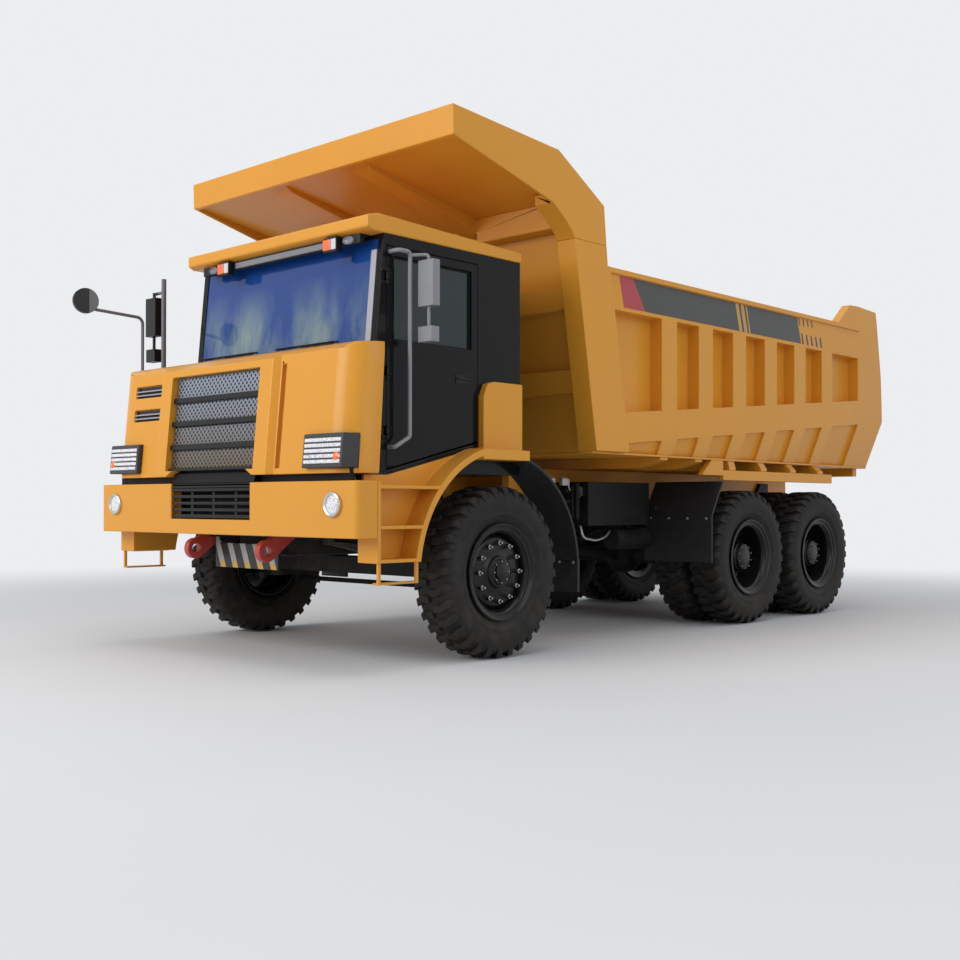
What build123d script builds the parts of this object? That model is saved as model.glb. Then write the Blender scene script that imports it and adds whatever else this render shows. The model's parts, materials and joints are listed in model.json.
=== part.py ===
"""Mining dump truck, six by four, with its cab set off to the left and a rear-tipping rock bed.

Millimetres. +X is forward, +Y is the truck's left and +Z is up. Lengths along X are measured from the front
axle; shift_x moves the finished pieces so that the origin lies on the ground at the middle of the truck.
"""

import os
from math import cos, pi, radians, sin

from build123d import *

# Wheels and axles
tyre_radius = 685.0
tyre_width = 375.0
tyre_bead_radius = 330.0
tyre_casing_radius, tyre_shoulder_radius, tyre_seat_radius = 652.0, 600.0, 396.0
tyre_groove_half, tyre_tread_half, tyre_bead_half = 10.0, 138.0, 150.0
lug_count, seat_sides, bore_sides = 12, 11, 6
rim_wall = 29.8
rim_flange_radius = 388.0
front_wheel_y = 1502.5
rear_inner_wheel_y = 1022.5
rear_outer_wheel_y = 1452.5
rear_axle_xs = (-3893.0, -5379.0)
spindle_radius = 60.0
running_gap = 0.3
axle_nose = 290.0
kingpin_y = 1230.0
kingpin_radius = 35.0
knuckle_lug_radius = 75.0
knuckle_low, knuckle_high = 545.0, 825.0
knuckle_lug_height = 50.0
steering_arm_length = 260.0
tie_rod_z = 512.0

# Frame
rail_inner_y, rail_outer_y = 350.0, 450.0
rail_bottom, rail_top = 950.0, 1270.0
rail_front, rail_rear = 1300.0, -6020.0
cross_member_xs = (1180.0, -1900.0, -3200.0, -4636.0, -5950.0)
tip_pivot_x, tip_pivot_z = -6150.0, 1400.0
tip_pin_radius = 45.0
bracket_wall = 40.0

# Telescopic hoist behind the cab
hoist_foot = (-620.0, 1130.0)
hoist_eye = (-700.0, 3250.0)
hoist_pin_radius = 40.0
hoist_radii = (120.0, 103.5, 83.5, 61.5)
hoist_bores = (104.0, 84.0, 62.0)
hoist_cheek_gap = 140.0

# Bumper and front panel
bumper_half_width = 1716.0
bumper_front, bumper_back = 1567.0, 1373.0
bumper_low, bumper_high = 978.0, 1387.0
bumper_wall = 60.0
bumper_corner = 50.0
lower_grille_half = 540.0
lower_grille_low, lower_grille_high = 1098.0, 1366.0
hood_half_width = 1600.0
hood_low, hood_high = 1442.0, 2400.0
hood_foot_x, hood_brow_x, hood_brow_z = 1540.0, 1456.0, 2345.0
hood_corner = 240.0
hood_wall = 50.0
grille_y = -70.0
surround_half, surround_proud, surround_slope = 804.0, 50.0, 50.0
surround_top = 2325.0
upper_grille_half = 600.0
upper_grille_low, upper_grille_high = 1490.0, 2268.0
headlamp_inner_y, headlamp_outer_y = 1118.0, 1560.0
headlamp_low, headlamp_high = 1480.0, 1728.0
headlamp_proud = 45.0
fog_lamp_y, fog_lamp_z, fog_lamp_radius = 1463.0, 1217.0, 88.0
tow_eye_x, tow_eye_z, tow_eye_radius, tow_bore_radius = 1420.0, 855.0, 85.0, 38.0

# Cab, offset to the left
cab_left, cab_right = 1500.0, -780.0
cab_rear, cab_front = -397.0, 1200.0
cab_floor, cab_waist, cab_top = 1456.0, 2400.0, 3215.0
cab_rake = 76.0
cab_wall = 60.0
cab_mount_xs = (-380.0, 1090.0)
deck_low, deck_top, tread_thickness = 1690.0, 2375.0, 4.0
glass_thickness = 20.0
roof_thickness = 100.0
roof_overhang = 91.0
door_front, door_rear, door_top = 1095.0, 118.0, 3125.0
door_foot_front_z, door_foot_rear_z = 1480.0, 1720.0
door_gap, door_foot_gap, door_toe = 5.0, 12.0, 80.0
door_hinge_x, door_hinge_y = 1100.0, 1512.0
door_hinge_zs = (1760.0, 2200.0, 2900.0)
door_pin_radius, door_knuckle_radius, door_knuckle_half = 7.0, 11.5, 30.0
door_thickness = 55.0

# Fenders and steps
arch_radius, arch_thickness = 950.0, 50.0
fender_low, fender_high = 1572.0, 1653.0
fender_front, fender_rear = 272.0, -275.0
step_box_low = 800.0
step_zs = (1357.0, 1067.0, 826.0)
step_thickness = 25.0
hoop_low = 645.0
guard_radius, guard_wall = 925.0, 25.0

# Rock bed
bed_gap = 6.0
beam_clearance = 6.0
beam_high = 1570.0
floor_low, floor_wall, wear_plate = 1665.0, 20.0, 8.0
beam_front, beam_rear = -1450.0, -6760.0
cover_rear, cover_front = -5720.0, -3390.0
cover_inner_y, cover_outer_y, cover_low = 1540.0, 1600.0, 1469.0
front_member_half = 1380.0
wall_inner_y, wall_panel_y, wall_outer_y = 1510.0, 1549.0, 1684.0
rail_low_z, bed_rail_high = 2940.0, 3300.0
rail_lip_height, rail_lip_proud = 48.0, 30.0
panel_step = 40.0
gusset_foot_x, gusset_head_x, gusset_low = -3016.0, -3174.0, 1515.0
rib_width, rib_pitch, rib_count, first_rib_x = 252.0, 626.0, 6, -2185.0
belt_slope = 0.0875
belt_low_front, belt_high_front = 1763.0, 2042.0
chamfer_lean = 0.385
bed_tail = -6852.0
post_front = -6208.0
canopy_half_width = 1720.0
canopy_nose = ((621.0, 4013.0), (627.0, 4245.0))
canopy_ridge, canopy_tail, canopy_heel = (-633.0, 4166.0), (-1256.0, 3811.0), (-1262.0, 3750.0)
canopy_slope = 0.2525
canopy_front_wall, canopy_side_wall = 40.0, 30.0
recess_front_depth, recess_rear_depth = 20.0, 145.0
header_low, header_inner_y, header_proud = 3573.0, 630.0, 20.0
stiffener_y, stiffener_half = 530.0, 100.0
column_inner_y = 1520.0
column_lean = 0.172
column_top_x, column_top_z = -847.0, 3466.0
column_shoulder, seam_rear_x = (-1308.0, 3300.0), -1291.0
headboard_recess, headboard_wall = 150.0, 60.0
tailgate_hinge_x, tailgate_hinge_z = -6560.0, 3480.0
tailgate_front, tailgate_thickness = -6640.0, 60.0
tailgate_pin_radius = 25.0

# Mirrors
mirror_reach = cab_left + 300.0
mirror_post_x, mirror_post_top, mirror_arm_z = 1040.0, 3270.0, 3150.0
gooseneck_x, gooseneck_y = 1330.0, -1440.0
nose_mirror_x, nose_mirror_radius = 1880.0, 107.0

nose_x = nose_mirror_x + nose_mirror_radius
shift_x = -(nose_x + bed_tail) / 2


def block(x, y, z):
    """A box between the two ends given for each axis."""
    size = [abs(b - a) for a, b in (x, y, z)]
    middle = [(a + b) / 2 for a, b in (x, y, z)]
    return Pos(*middle) * Box(*size)


def slab_y(points, y0, y1):
    """A plate with its outline given as (x, z) points, from y0 to y1."""
    face = Plane.XZ * make_face(Polyline(*points, close=True))
    return Pos(0, max(y0, y1), 0) * extrude(face, amount=abs(y1 - y0))


def slab_x(points, x0, x1):
    """A plate with its outline given as (y, z) points, from x0 to x1."""
    face = Plane.YZ * make_face(Polyline(*points, close=True))
    return Pos(min(x0, x1), 0, 0) * extrude(face, amount=abs(x1 - x0))


def slab_z(points, z0, z1):
    """A plate with its outline given as (x, y) points, from z0 to z1."""
    face = make_face(Polyline(*points, close=True))
    return Pos(0, 0, min(z0, z1)) * extrude(face, amount=abs(z1 - z0))


def disc_y(x, z, radius, y0, y1):
    """A cylinder along Y."""
    return Pos(x, (y0 + y1) / 2, z) * Rot(90, 0, 0) * Cylinder(radius, abs(y1 - y0))


def disc_z(x, y, radius, z0, z1):
    """A cylinder along Z."""
    return Pos(x, y, (z0 + z1) / 2) * Cylinder(radius, abs(z1 - z0))


def rod(start, end, radius):
    """A round bar from one point to another."""
    run = Vector(*end) - Vector(*start)
    return Solid.make_cylinder(radius, run.length, Plane(origin=start, z_dir=run))


def bent_bar(points, bend, radius):
    """A round bar that runs through the points with its corners bent."""
    path = FilletPolyline(*points, radius=bend)
    return sweep(Plane(origin=path @ 0, z_dir=path % 0) * Circle(radius), path=path)


def both_sides(shape):
    """The shape and its twin on the truck's other side."""
    return shape + mirror(shape, about=Plane.XZ)


def flat_sides(front, rear):
    """The flat faces between two like outlines. Where two corners meet in one, the face has three corners."""
    faces = []
    for i in range(len(front)):
        j = (i + 1) % len(front)
        corners = []
        for corner in (front[i], front[j], rear[j], rear[i]):
            if corner not in corners:
                corners.append(corner)
        faces.append(Face(Wire.make_polygon(corners)))
    return faces


def hexahedron(front, rear):
    """A solid with flat faces between two like outlines, each a list of (x, y, z) points."""
    return Solid(Shell([Face(Wire.make_polygon(front)), Face(Wire.make_polygon(rear)), *flat_sides(front, rear)]))


def prism_y(sides, flat, y0, y1):
    """A regular prism along Y, with the distance from its middle to its flats."""
    outline = RegularPolygon(flat / cos(pi / sides), sides)
    return Pos(0, max(y0, y1), 0) * extrude(Plane.XZ * outline, amount=abs(y1 - y0))


# Chassis


def frame_rails():
    """Two box rails with the bumper's arms, the cab's mounts and the plates that carry the bed's pins."""
    rail = block((rail_rear, rail_front), (rail_inner_y, rail_outer_y), (rail_bottom, rail_top))
    rail += block(
        (rail_front, bumper_front - bumper_wall), (rail_inner_y, rail_outer_y),
        (bumper_low + bracket_wall + 2, lower_grille_low - 3),
    )
    rail += slab_y(
        [
            (rail_rear + 170, rail_bottom + 50), (rail_rear + 170, rail_top - 50),
            (rail_rear - 40, tip_pivot_z + 80), (tip_pivot_x - 90, tip_pivot_z + 80),
            (tip_pivot_x - 90, tip_pivot_z - 80), (rail_rear, rail_bottom + 50),
        ],
        rail_outer_y, rail_outer_y + bracket_wall,
    )
    for x in cab_mount_xs:
        rail += block((x, x + 80), (rail_inner_y, rail_outer_y), (rail_top - 1, cab_floor))
    rail += disc_y(tip_pivot_x, tip_pivot_z, tip_pin_radius, rail_inner_y, rail_outer_y + bracket_wall)
    return both_sides(rail)


def frame_cross_members():
    """The members between the rails, and the pair that carries the hoist's foot with its cheeks and pin."""
    low, high = rail_bottom + 50, rail_top - 50
    members = [block((x - 50, x + 50), (-rail_inner_y, rail_inner_y), (low, high)) for x in cross_member_xs]
    foot_x, foot_z = hoist_foot
    foot = disc_y(foot_x, foot_z, hoist_pin_radius, -hoist_cheek_gap - 10, hoist_cheek_gap + 10)
    foot += both_sides(
        block((foot_x - 90, foot_x + 90), (hoist_cheek_gap + 5, hoist_cheek_gap + 35), (low, foot_z + 80))
    )
    for x in (foot_x - 140, foot_x + 90):
        foot += block((x, x + 50), (-rail_inner_y, rail_inner_y), (low, foot_z - 10))
    return Compound(children=[*members, foot.solid()])


def engine_block():
    """The engine and clutch housing as one plain block between the rails, under the cab."""
    return block((-400, 1080), (-330, 330), (800, 1430))


def radiator():
    """The cooling pack behind the grille, on a foot that stands on the front cross member."""
    core = block((1262, 1352), (-560, 560), (1330, 2240))
    foot = block((1240, 1290), (-rail_outer_y, rail_outer_y), (rail_top, 1330))
    return core + foot + block((1240, 1262), (-rail_outer_y, rail_outer_y), (1270, 1600))


def front_axle():
    """A forged beam whose ends are eyes that hold the kingpins."""
    half = block((-75, 75), (0, kingpin_y - 60), (610, 760))
    half += disc_z(0, kingpin_y, knuckle_lug_radius, 600, 770)
    half += disc_z(0, kingpin_y, kingpin_radius, knuckle_low, knuckle_high)
    return both_sides(half)


def rear_axles():
    """Two banjo housings with the spindles that carry the twin wheels."""
    housings = []
    for x in rear_axle_xs:
        half = disc_y(x, tyre_radius, 110, 0, 800)
        half += disc_y(x, tyre_radius, spindle_radius, 800, 1480)
        half += block((x - 80, x + 80), (480, 580), (tyre_radius, tyre_radius + 130))
        nose = block((x - axle_nose, x + axle_nose), (-70, 70), (tyre_radius - 70, tyre_radius + 70))
        housings.append((both_sides(half) + Pos(x, 0, tyre_radius) * Sphere(225) + nose).solid())
    return Compound(children=housings)


def suspension():
    """Front leaf springs on their hangers, and the rear pair's springs on their trunnions."""
    front = slab_y(
        [
            (-760, rail_bottom), (-760, 885), (-690, 885), (-130, 760), (130, 760), (690, 885), (760, 885),
            (760, rail_bottom), (700, rail_bottom), (700, 915), (130, 850), (-130, 850), (-700, 915),
            (-700, rail_bottom),
        ],
        360, 440,
    )
    middle = sum(rear_axle_xs) / 2
    spread = (rear_axle_xs[0] - rear_axle_xs[1]) / 2
    pad_z = tyre_radius + 130
    rear = slab_y(
        [
            (middle - spread - 100, pad_z), (middle - spread + 60, pad_z), (middle - 150, pad_z + 60),
            (middle - 110, 780), (middle + 110, 780), (middle + 150, pad_z + 60),
            (middle + spread - 60, pad_z), (middle + spread + 100, pad_z),
            (middle + spread + 100, pad_z + 35), (middle + 150, pad_z + 170),
            (middle - 150, pad_z + 170), (middle - spread - 100, pad_z + 35),
        ],
        480, 580,
    )
    rear += block((middle - 100, middle + 100), (rail_outer_y, 480), (790, 1180))
    springs = [*both_sides(front).solids(), *both_sides(rear).solids()]
    return Compound(children=springs)


def driveline():
    """The gearbox behind the engine and the shafts to the two driven axles."""
    box = block((-1750, -740), (-230, 230), (760, 985))
    box += block((-740, -400), (-150, 150), (800, 985))
    near, far = rear_axle_xs
    nose_face = near + axle_nose
    shaft = box + rod((-1745, 0, 850), (nose_face + 12, 0, tyre_radius), 50)
    shaft += block((nose_face, nose_face + 30), (-65, 65), (tyre_radius - 65, tyre_radius + 65))
    shaft -= block((nose_face - 100, nose_face), (-100, 100), (tyre_radius - 100, tyre_radius + 100))
    link = rod((near - axle_nose, 0, tyre_radius), (far + axle_nose, 0, tyre_radius), 50)
    return Compound(children=[shaft.solid(), link])


def left_tanks():
    """The hoist's oil tank on the left rail with its valve, its bearers and the air reservoir below it."""
    tank = block((-2960, -1960), (560, 1000), (1020, 1440))
    for x in (-2800, -2120):
        tank += block((x - 40, x + 40), (rail_outer_y, 560), (1060, 1220))
    tank += block((-2840, -2760), (820, 880), (940, 1021))
    tank += Pos(-2800, 850, 880) * Rot(0, 90, 0) * Cylinder(105, 560)
    return tank + valve_block()


def fuel_tank():
    """The fuel tank on the right rail."""
    tank = block((-2900, -1300), (-1150, -520), (780, 1350))
    tank = fillet(tank.edges().filter_by(Axis.X), 70)
    for x in (-2600, -1600):
        tank += block((x - 40, x + 40), (-521, -rail_outer_y), (1000, 1220))
    return tank


def valve_block():
    """The hoist's control valve on the front of the oil tank, with its ports."""
    body = block((-1961, -1840), (720, 900), (1100, 1400))
    for z in (1150, 1250, 1350):
        body += rod((-1841, 860, z), (-1770, 860, z), 22)
    return body + block((-1900, -1860), (899, 940), (1080, 1430))


def bumper():
    """The steel bumper: a front plate with rounded corners, side returns, and the lower air opening."""
    outer = block(
        (bumper_back, bumper_front), (-bumper_half_width, bumper_half_width), (bumper_low, bumper_high)
    )
    corners = outer.edges().filter_by(Axis.Z).group_by(Axis.X)[-1]
    outer = fillet(corners, bumper_corner)
    inner = block(
        (bumper_back - 1, bumper_front - bumper_wall),
        (-bumper_half_width + bumper_wall, bumper_half_width - bumper_wall),
        (bumper_low + bracket_wall, bumper_high - bracket_wall),
    )
    opening = block(
        (bumper_back - 1, bumper_front + 1), (grille_y - lower_grille_half, grille_y + lower_grille_half),
        (lower_grille_low, bumper_high + 1),
    )
    return outer - inner - opening


def lower_grille():
    """The black shelf in the bumper's notch, with slats below it, tied by uprights behind them."""
    left, right = grille_y + lower_grille_half, grille_y - lower_grille_half
    slats = 5
    pitch = (lower_grille_high - lower_grille_low) / slats
    grille = block((bumper_back, bumper_front - 10), (right, left), (lower_grille_high - 16, lower_grille_high))
    for i in range(slats):
        z = lower_grille_low + pitch * (i + 0.4)
        grille += block((bumper_front - 48, bumper_front - 10), (right, left), (z - 12, z + 12))
    for y in (grille_y - 300, grille_y, grille_y + 300):
        grille += block(
            (bumper_front - 60, bumper_front - 48), (y - 20, y + 20), (lower_grille_low, lower_grille_high - 16)
        )
    return grille


def hood_face_x(z):
    """Where the front panel's leaning face is at a height."""
    lean = (hood_foot_x - hood_brow_x) / (hood_brow_z - hood_low)
    return hood_foot_x - lean * (z - hood_low)


def leaning_block(low, high, back, front, y0, y1):
    """A block parallel to the front panel's face, back and front being measured from that face."""
    return slab_y(
        [
            (hood_face_x(low) + back, low), (hood_face_x(low) + front, low),
            (hood_face_x(high) + front, high), (hood_face_x(high) + back, high),
        ],
        y0, y1,
    )


def headlamp_housing():
    """One lamp's housing, which stands proud of the panel at its corner."""
    return leaning_block(
        headlamp_low, headlamp_high, -130, headlamp_proud, headlamp_inner_y, headlamp_outer_y
    )


def hood_shell(inset):
    """The front panel's outer form, drawn in by an inset to give the hollow behind it."""
    foot = hood_low - (1 if inset else 0)
    back = -60 if inset else 0
    form = slab_y(
        [
            (1253 + back, foot), (hood_face_x(foot) - inset, foot), (hood_brow_x - inset, hood_brow_z - inset),
            (hood_brow_x - 60 - inset, hood_high - 10 - inset), (cab_front + back, hood_high - inset),
            (cab_front + back, hood_brow_z - inset),
        ],
        -hood_half_width + inset, hood_half_width - inset,
    )
    sides = form.edges().filter_by(lambda e: abs(e.tangent_at(0.5).Z) > 0.9).group_by(Axis.X)[-1]
    return fillet(sides, hood_corner - inset)


groove_y = (738.0, 792.0)


def surround():
    """The raised frame round the grille, with sloping outer edges."""
    outlines = []
    for proud, spread in ((surround_proud, 0), (-20, surround_slope * 1.4)):
        half, top = surround_half - surround_slope + spread, surround_top + spread / 2
        left, right = grille_y + half, grille_y - half
        corners = ((left, hood_low), (left, top), (right, top), (right, hood_low))
        outlines.append([(hood_face_x(z) + proud, y, z) for y, z in corners])
    return hexahedron(*outlines)


def mouth_outlines():
    """The gap below the grille, which widens towards the panel's lower edge."""
    outlines = []
    for x in (1300, 1700):
        corners = (
            (grille_y - 500, upper_grille_low + 1), (grille_y + 500, upper_grille_low + 1),
            (grille_y + 590, hood_low - 1), (grille_y - 590, hood_low - 1),
        )
        outlines.append([(x, y, z) for y, z in corners])
    return outlines


def hood():
    """The front panel: rounded corners, a raised surround round the grille, a groove and louvre pockets."""
    shell = hood_shell(0) - hood_shell(hood_wall)
    shell += surround()
    shell -= block(
        (1300, 1700), (grille_y - upper_grille_half, grille_y + upper_grille_half),
        (upper_grille_low, upper_grille_high),
    )
    shell -= hexahedron(*mouth_outlines())
    shell -= leaning_block(upper_grille_low, 2277, -hood_wall + 12, 100, *groove_y)
    for low in (1928, 2132):
        shell -= leaning_block(low, low + 100, -30, 60, -1304, -880)
    return shell - both_sides(headlamp_housing())


def upper_grille():
    """The perforated panel in the surround, with dark bars across it."""
    left, right = grille_y + upper_grille_half, grille_y - upper_grille_half
    grille = leaning_block(upper_grille_low, upper_grille_high, -30, -14, right, left)
    for i in range(4):
        z = upper_grille_low + (upper_grille_high - upper_grille_low) * i / 4
        grille += leaning_block(max(z - 20, upper_grille_low), z + 20, -20, 20, right, left)
    return grille


def front_lamps():
    """The headlamps and the round lamps on the bumper."""
    lamp = Pos(bumper_front + 6, fog_lamp_y, fog_lamp_z) * Rot(0, 90, 0) * Cylinder(fog_lamp_radius, 12)
    lamps = [*both_sides(headlamp_housing()).solids(), *both_sides(lamp).solids()]
    return Compound(children=lamps)


def tow_hooks():
    """Towing eyes bolted to the outer faces of the rails under the bumper."""
    x, z, inner, outer = tow_eye_x, tow_eye_z, rail_outer_y, rail_outer_y + 60
    eye = slab_y(
        [(1150, 955), (1150, 1080), (1290, 1080), (x - 50, z + 105), (x + 50, z + 60), (x - 60, z - 60)],
        inner, outer,
    )
    eye += disc_y(x, z, tow_eye_radius, inner, outer)
    return both_sides(eye - disc_y(x, z, tow_bore_radius, inner - 1, outer + 1))


def skid_plate():
    """The striped plate under the front of the rails."""
    plate = block((1225, 1255), (-420, 420), (700, 900))
    return plate + both_sides(block((1225, 1255), (360, 420), (899, rail_bottom)))


def arch_sector(inner, outer, x_low, x_high, y0, y1):
    """Part of a ring about the front axle, above it and between two distances along the truck."""
    ring = disc_y(0, tyre_radius, outer, y0, y1) - disc_y(0, tyre_radius, inner, y0 - 1, y1 + 1)
    return ring & block((x_low, x_high), (y0, y1), (tyre_radius, tyre_radius + outer))


def fender():
    """Steps, the wheel arch, the ledge over the wheel and the hoop that makes the lowest step."""
    outer = bumper_half_width
    foot_x = 948.0
    arch = arch_sector(arch_radius, arch_radius + arch_thickness, fender_front - 60, 1000, cab_left, outer)
    arch -= block((0, 1100), (cab_left - 1, outer + 1), (tyre_radius - 1, step_box_low))
    shape = arch + block((fender_rear, fender_front), (cab_left, outer), (fender_low, fender_high))
    wall_top = [(1340, 1436), (1108, 1436), (85, 1678), (85, fender_high - 30), (fender_front, fender_low)]
    wall = slab_y(
        [(bumper_back, step_box_low), (bumper_back, 1380), (1340, 1380), *wall_top, (760, 1200),
         (foot_x, step_box_low)],
        cab_left, cab_left + 30,
    )
    wall -= disc_y(0, tyre_radius, arch_radius + arch_thickness / 2, cab_left - 1, cab_left + 31)
    shape += wall
    shape += block((1340, bumper_back), (cab_left, outer), (step_box_low, 1380))
    for z in step_zs:
        reach = (arch_radius + arch_thickness / 2) ** 2 - (z - tyre_radius) ** 2
        shape += block((reach ** 0.5, 1345), (cab_left, outer), (z - step_thickness, z))
    for x in (960, 1330):
        shape += block((x, x + 25), (outer - 37, outer - 12), (hoop_low, step_box_low + 1))
    return shape + block((960, 1355), (outer - 80, outer - 12), (hoop_low, hoop_low + 15))


def left_fender():
    """The left fender, with the upright fairing on the cab's side."""
    fairing = slab_y(
        [(-360, fender_high), (107, fender_high), (107, 2080), (60, 2180), (-20, 2202), (-360, 2202)],
        cab_left, cab_left + 60,
    )
    return fender() + fairing


def right_fender():
    """The right fender, under the deck."""
    return mirror(fender(), about=Plane.XZ)


def front_guards():
    """Black guards over the rear half of each front wheel, with a flap below."""
    outer = guard_radius + guard_wall
    guard = arch_sector(guard_radius, outer, -1000, fender_rear, 1300, 1690)
    guard -= block((-402, 0), (1200, cab_left + 5), (1400, 1700))
    guard -= block((-1000, -800), (1200, 1700), (tyre_radius - 1, 740))
    guard += block((-outer - 5, -outer + 25), (1300, 1690), (480, 760))
    return both_sides(guard)


def rear_guards():
    """The guard plates with flaps ahead of the twin wheels, hung from the rails."""
    guard = slab_y(
        [(-3130, 650), (-3130, 1110), (-3325, 1446), (-3305, 1458), (-3105, 1115), (-3105, 650)],
        840, 1640,
    )
    arm = block((-3170, -3130), (rail_outer_y, 960), (1140, 1200))
    return both_sides(guard + arm)


def deck():
    """The closed cowl to the right of the cab, with the tread plate of the walkway on it."""
    rear, outer = cab_rear + 7, -hood_half_width
    cowl = block((rear, cab_front - 3), (outer, cab_right), (deck_low, deck_top))
    tread = block((rear + 50, 900), (outer + 100, cab_right - 60), (deck_top - 1, deck_top + tread_thickness))
    return cowl + tread


def cab_outline(inset):
    """The cab's side outline, drawn in by an inset."""
    top = cab_top + (10 if inset else 0)
    return [
        (cab_rear + inset, cab_floor + inset), (cab_front - inset, cab_floor + inset),
        (cab_front - inset, cab_waist), (cab_front - cab_rake - inset, top), (cab_rear + inset, top),
    ]


def windscreen_outline():
    """The windscreen's side outline, on the line of the cab's raked front."""
    lean = cab_rake / (cab_top - cab_waist)
    low, high = cab_waist + 20, cab_top - 35
    return [
        (cab_front - lean * (low - cab_waist) - 10, low), (cab_front - lean * (high - cab_waist) - 10, high),
        (cab_front - lean * (high - cab_waist) - 10 - glass_thickness, high),
        (cab_front - lean * (low - cab_waist) - 10 - glass_thickness, low),
    ]


windscreen_y = (cab_right + 60, cab_left - 60)
rear_window = ((cab_rear, cab_rear + cab_wall), (-300.0, 1000.0), (2480.0, 3080.0))
right_window = ((150.0, 1020.0), (cab_right, cab_right + cab_wall), (2480.0, 3080.0))


def cab_shell():
    """The cab's floor, walls and pillars, open at the windscreen, windows, door and top."""
    shell = slab_y(cab_outline(0), cab_right, cab_left)
    shell -= slab_y(cab_outline(cab_wall), cab_right + cab_wall, cab_left - cab_wall)
    shell -= block((1000, 1300), windscreen_y, (cab_waist + 20, cab_top - 35))
    shell -= block((cab_rear - 1, cab_rear + cab_wall + 1), *rear_window[1:])
    shell -= block(right_window[0], (cab_right - 1, cab_right + cab_wall + 1), right_window[2])
    opening = door_outline(door_gap, door_foot_gap)
    shell -= slab_y(opening, cab_left - cab_wall - 1, cab_left + 1)
    half = door_knuckle_half
    for z in door_hinge_zs:
        shell += disc_z(door_hinge_x, door_hinge_y, door_pin_radius, z - 2 * half, z + 2 * half)
        for low in (z - 2 * half, z + half + 1):
            high = low + half - 1
            shell += disc_z(door_hinge_x, door_hinge_y, door_knuckle_radius, low, high)
            shell += block((door_hinge_x, door_hinge_x + 50), (cab_left - 1, cab_left + 8), (low, high)) \
                - block((door_hinge_x, door_hinge_x + door_gap), (cab_left - 1, cab_left), (low, high))
    return shell


def door_outline(gap, foot_gap=0):
    """The door's side outline, level at its toe, let out by a gap that may be wider at the foot."""
    slope = (door_foot_rear_z - door_foot_front_z) / (door_front - door_rear)
    toe = door_foot_front_z + slope * door_toe
    if gap:
        foot = [(door_front + gap, door_foot_front_z - foot_gap)]
    else:
        foot = [(door_front - door_toe, toe), (door_front, toe)]
    return [
        *foot, (door_front + gap, door_top + gap), (door_rear - gap, door_top + gap),
        (door_rear - gap, door_foot_rear_z - foot_gap),
    ]


def cab_roof():
    """The roof with its visor over the windscreen."""
    front = cab_front + roof_overhang
    outline = [
        (cab_rear - 10, cab_top), (front - 50, cab_top), (front, cab_top + 25),
        (front, cab_top + 108), (front - 110, cab_top + 135), (cab_rear - 10, cab_top + roof_thickness - 15),
    ]
    return slab_y(outline, cab_right - 10, cab_left + 10)


def cab_glass():
    """The windscreen, the rear window and the window in the cab's right wall."""
    front = slab_y(windscreen_outline(), *windscreen_y)
    rear = block((cab_rear + 20, cab_rear + 20 + glass_thickness), *rear_window[1:])
    right = block(right_window[0], (cab_right + 20, cab_right + 20 + glass_thickness), right_window[2])
    return Compound(children=[front.solid(), rear.solid(), right.solid()])


def seats():
    """The driver's and the passenger's seats on their pedestals."""
    solids = []
    for y in (940, -160):
        floor = cab_floor + cab_wall
        seat = block((20, 420), (y - 180, y + 180), (floor, floor + 330))
        seat += block((-40, 470), (y - 250, y + 250), (floor + 330, floor + 470))
        seat += slab_y([(-40, 1900), (70, 1900), (-40, 2560), (-150, 2560)], y - 240, y + 240)
        seat += slab_y([(-75, 2560), (-130, 2780), (-210, 2780), (-150, 2560)], y - 140, y + 140)
        solids.append(seat.solid())
    return Compound(children=solids)


def dashboard():
    """The dashboard across the cab, with the steering wheel on its column."""
    floor = cab_floor + cab_wall
    top = slab_y(
        [(cab_front - cab_wall, floor), (cab_front - cab_wall, 2360), (1010, 2360), (860, 2240), (860, 1980),
         (980, 1940), (980, floor)],
        cab_right + cab_wall, cab_left - cab_wall - 60,
    )
    tilt = Plane(origin=(700, 940, 2290), z_dir=(-230, 0, 190))
    wheel = tilt * Torus(205, 16) + tilt * Cylinder(40, 36) + rod((930, 940, 2100), (700, 940, 2290), 35)
    for angle in (90, 210, 330):
        wheel += tilt * Rot(0, 0, angle) * Pos(110, 0, 0) * Box(180, 30, 14)
    return top + wheel


def roof_lamps():
    """Two marker lamps, the round spot lamps and the light bar under the visor."""
    bar = block((1190, 1235), (-640, 1360), (cab_top - 68, cab_top - 8))
    bar += block((1140, 1190), (-640, 1360), (cab_top - 8, cab_top))
    bar += block((1190, 1235), (-640, 1360), (cab_top - 8, cab_top))
    for y in (-280, 1080):
        bar += block((1235, 1290), (y - 75, y + 75), (cab_top - 110, cab_top + 0))
    return bar


# Mirrors


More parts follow.
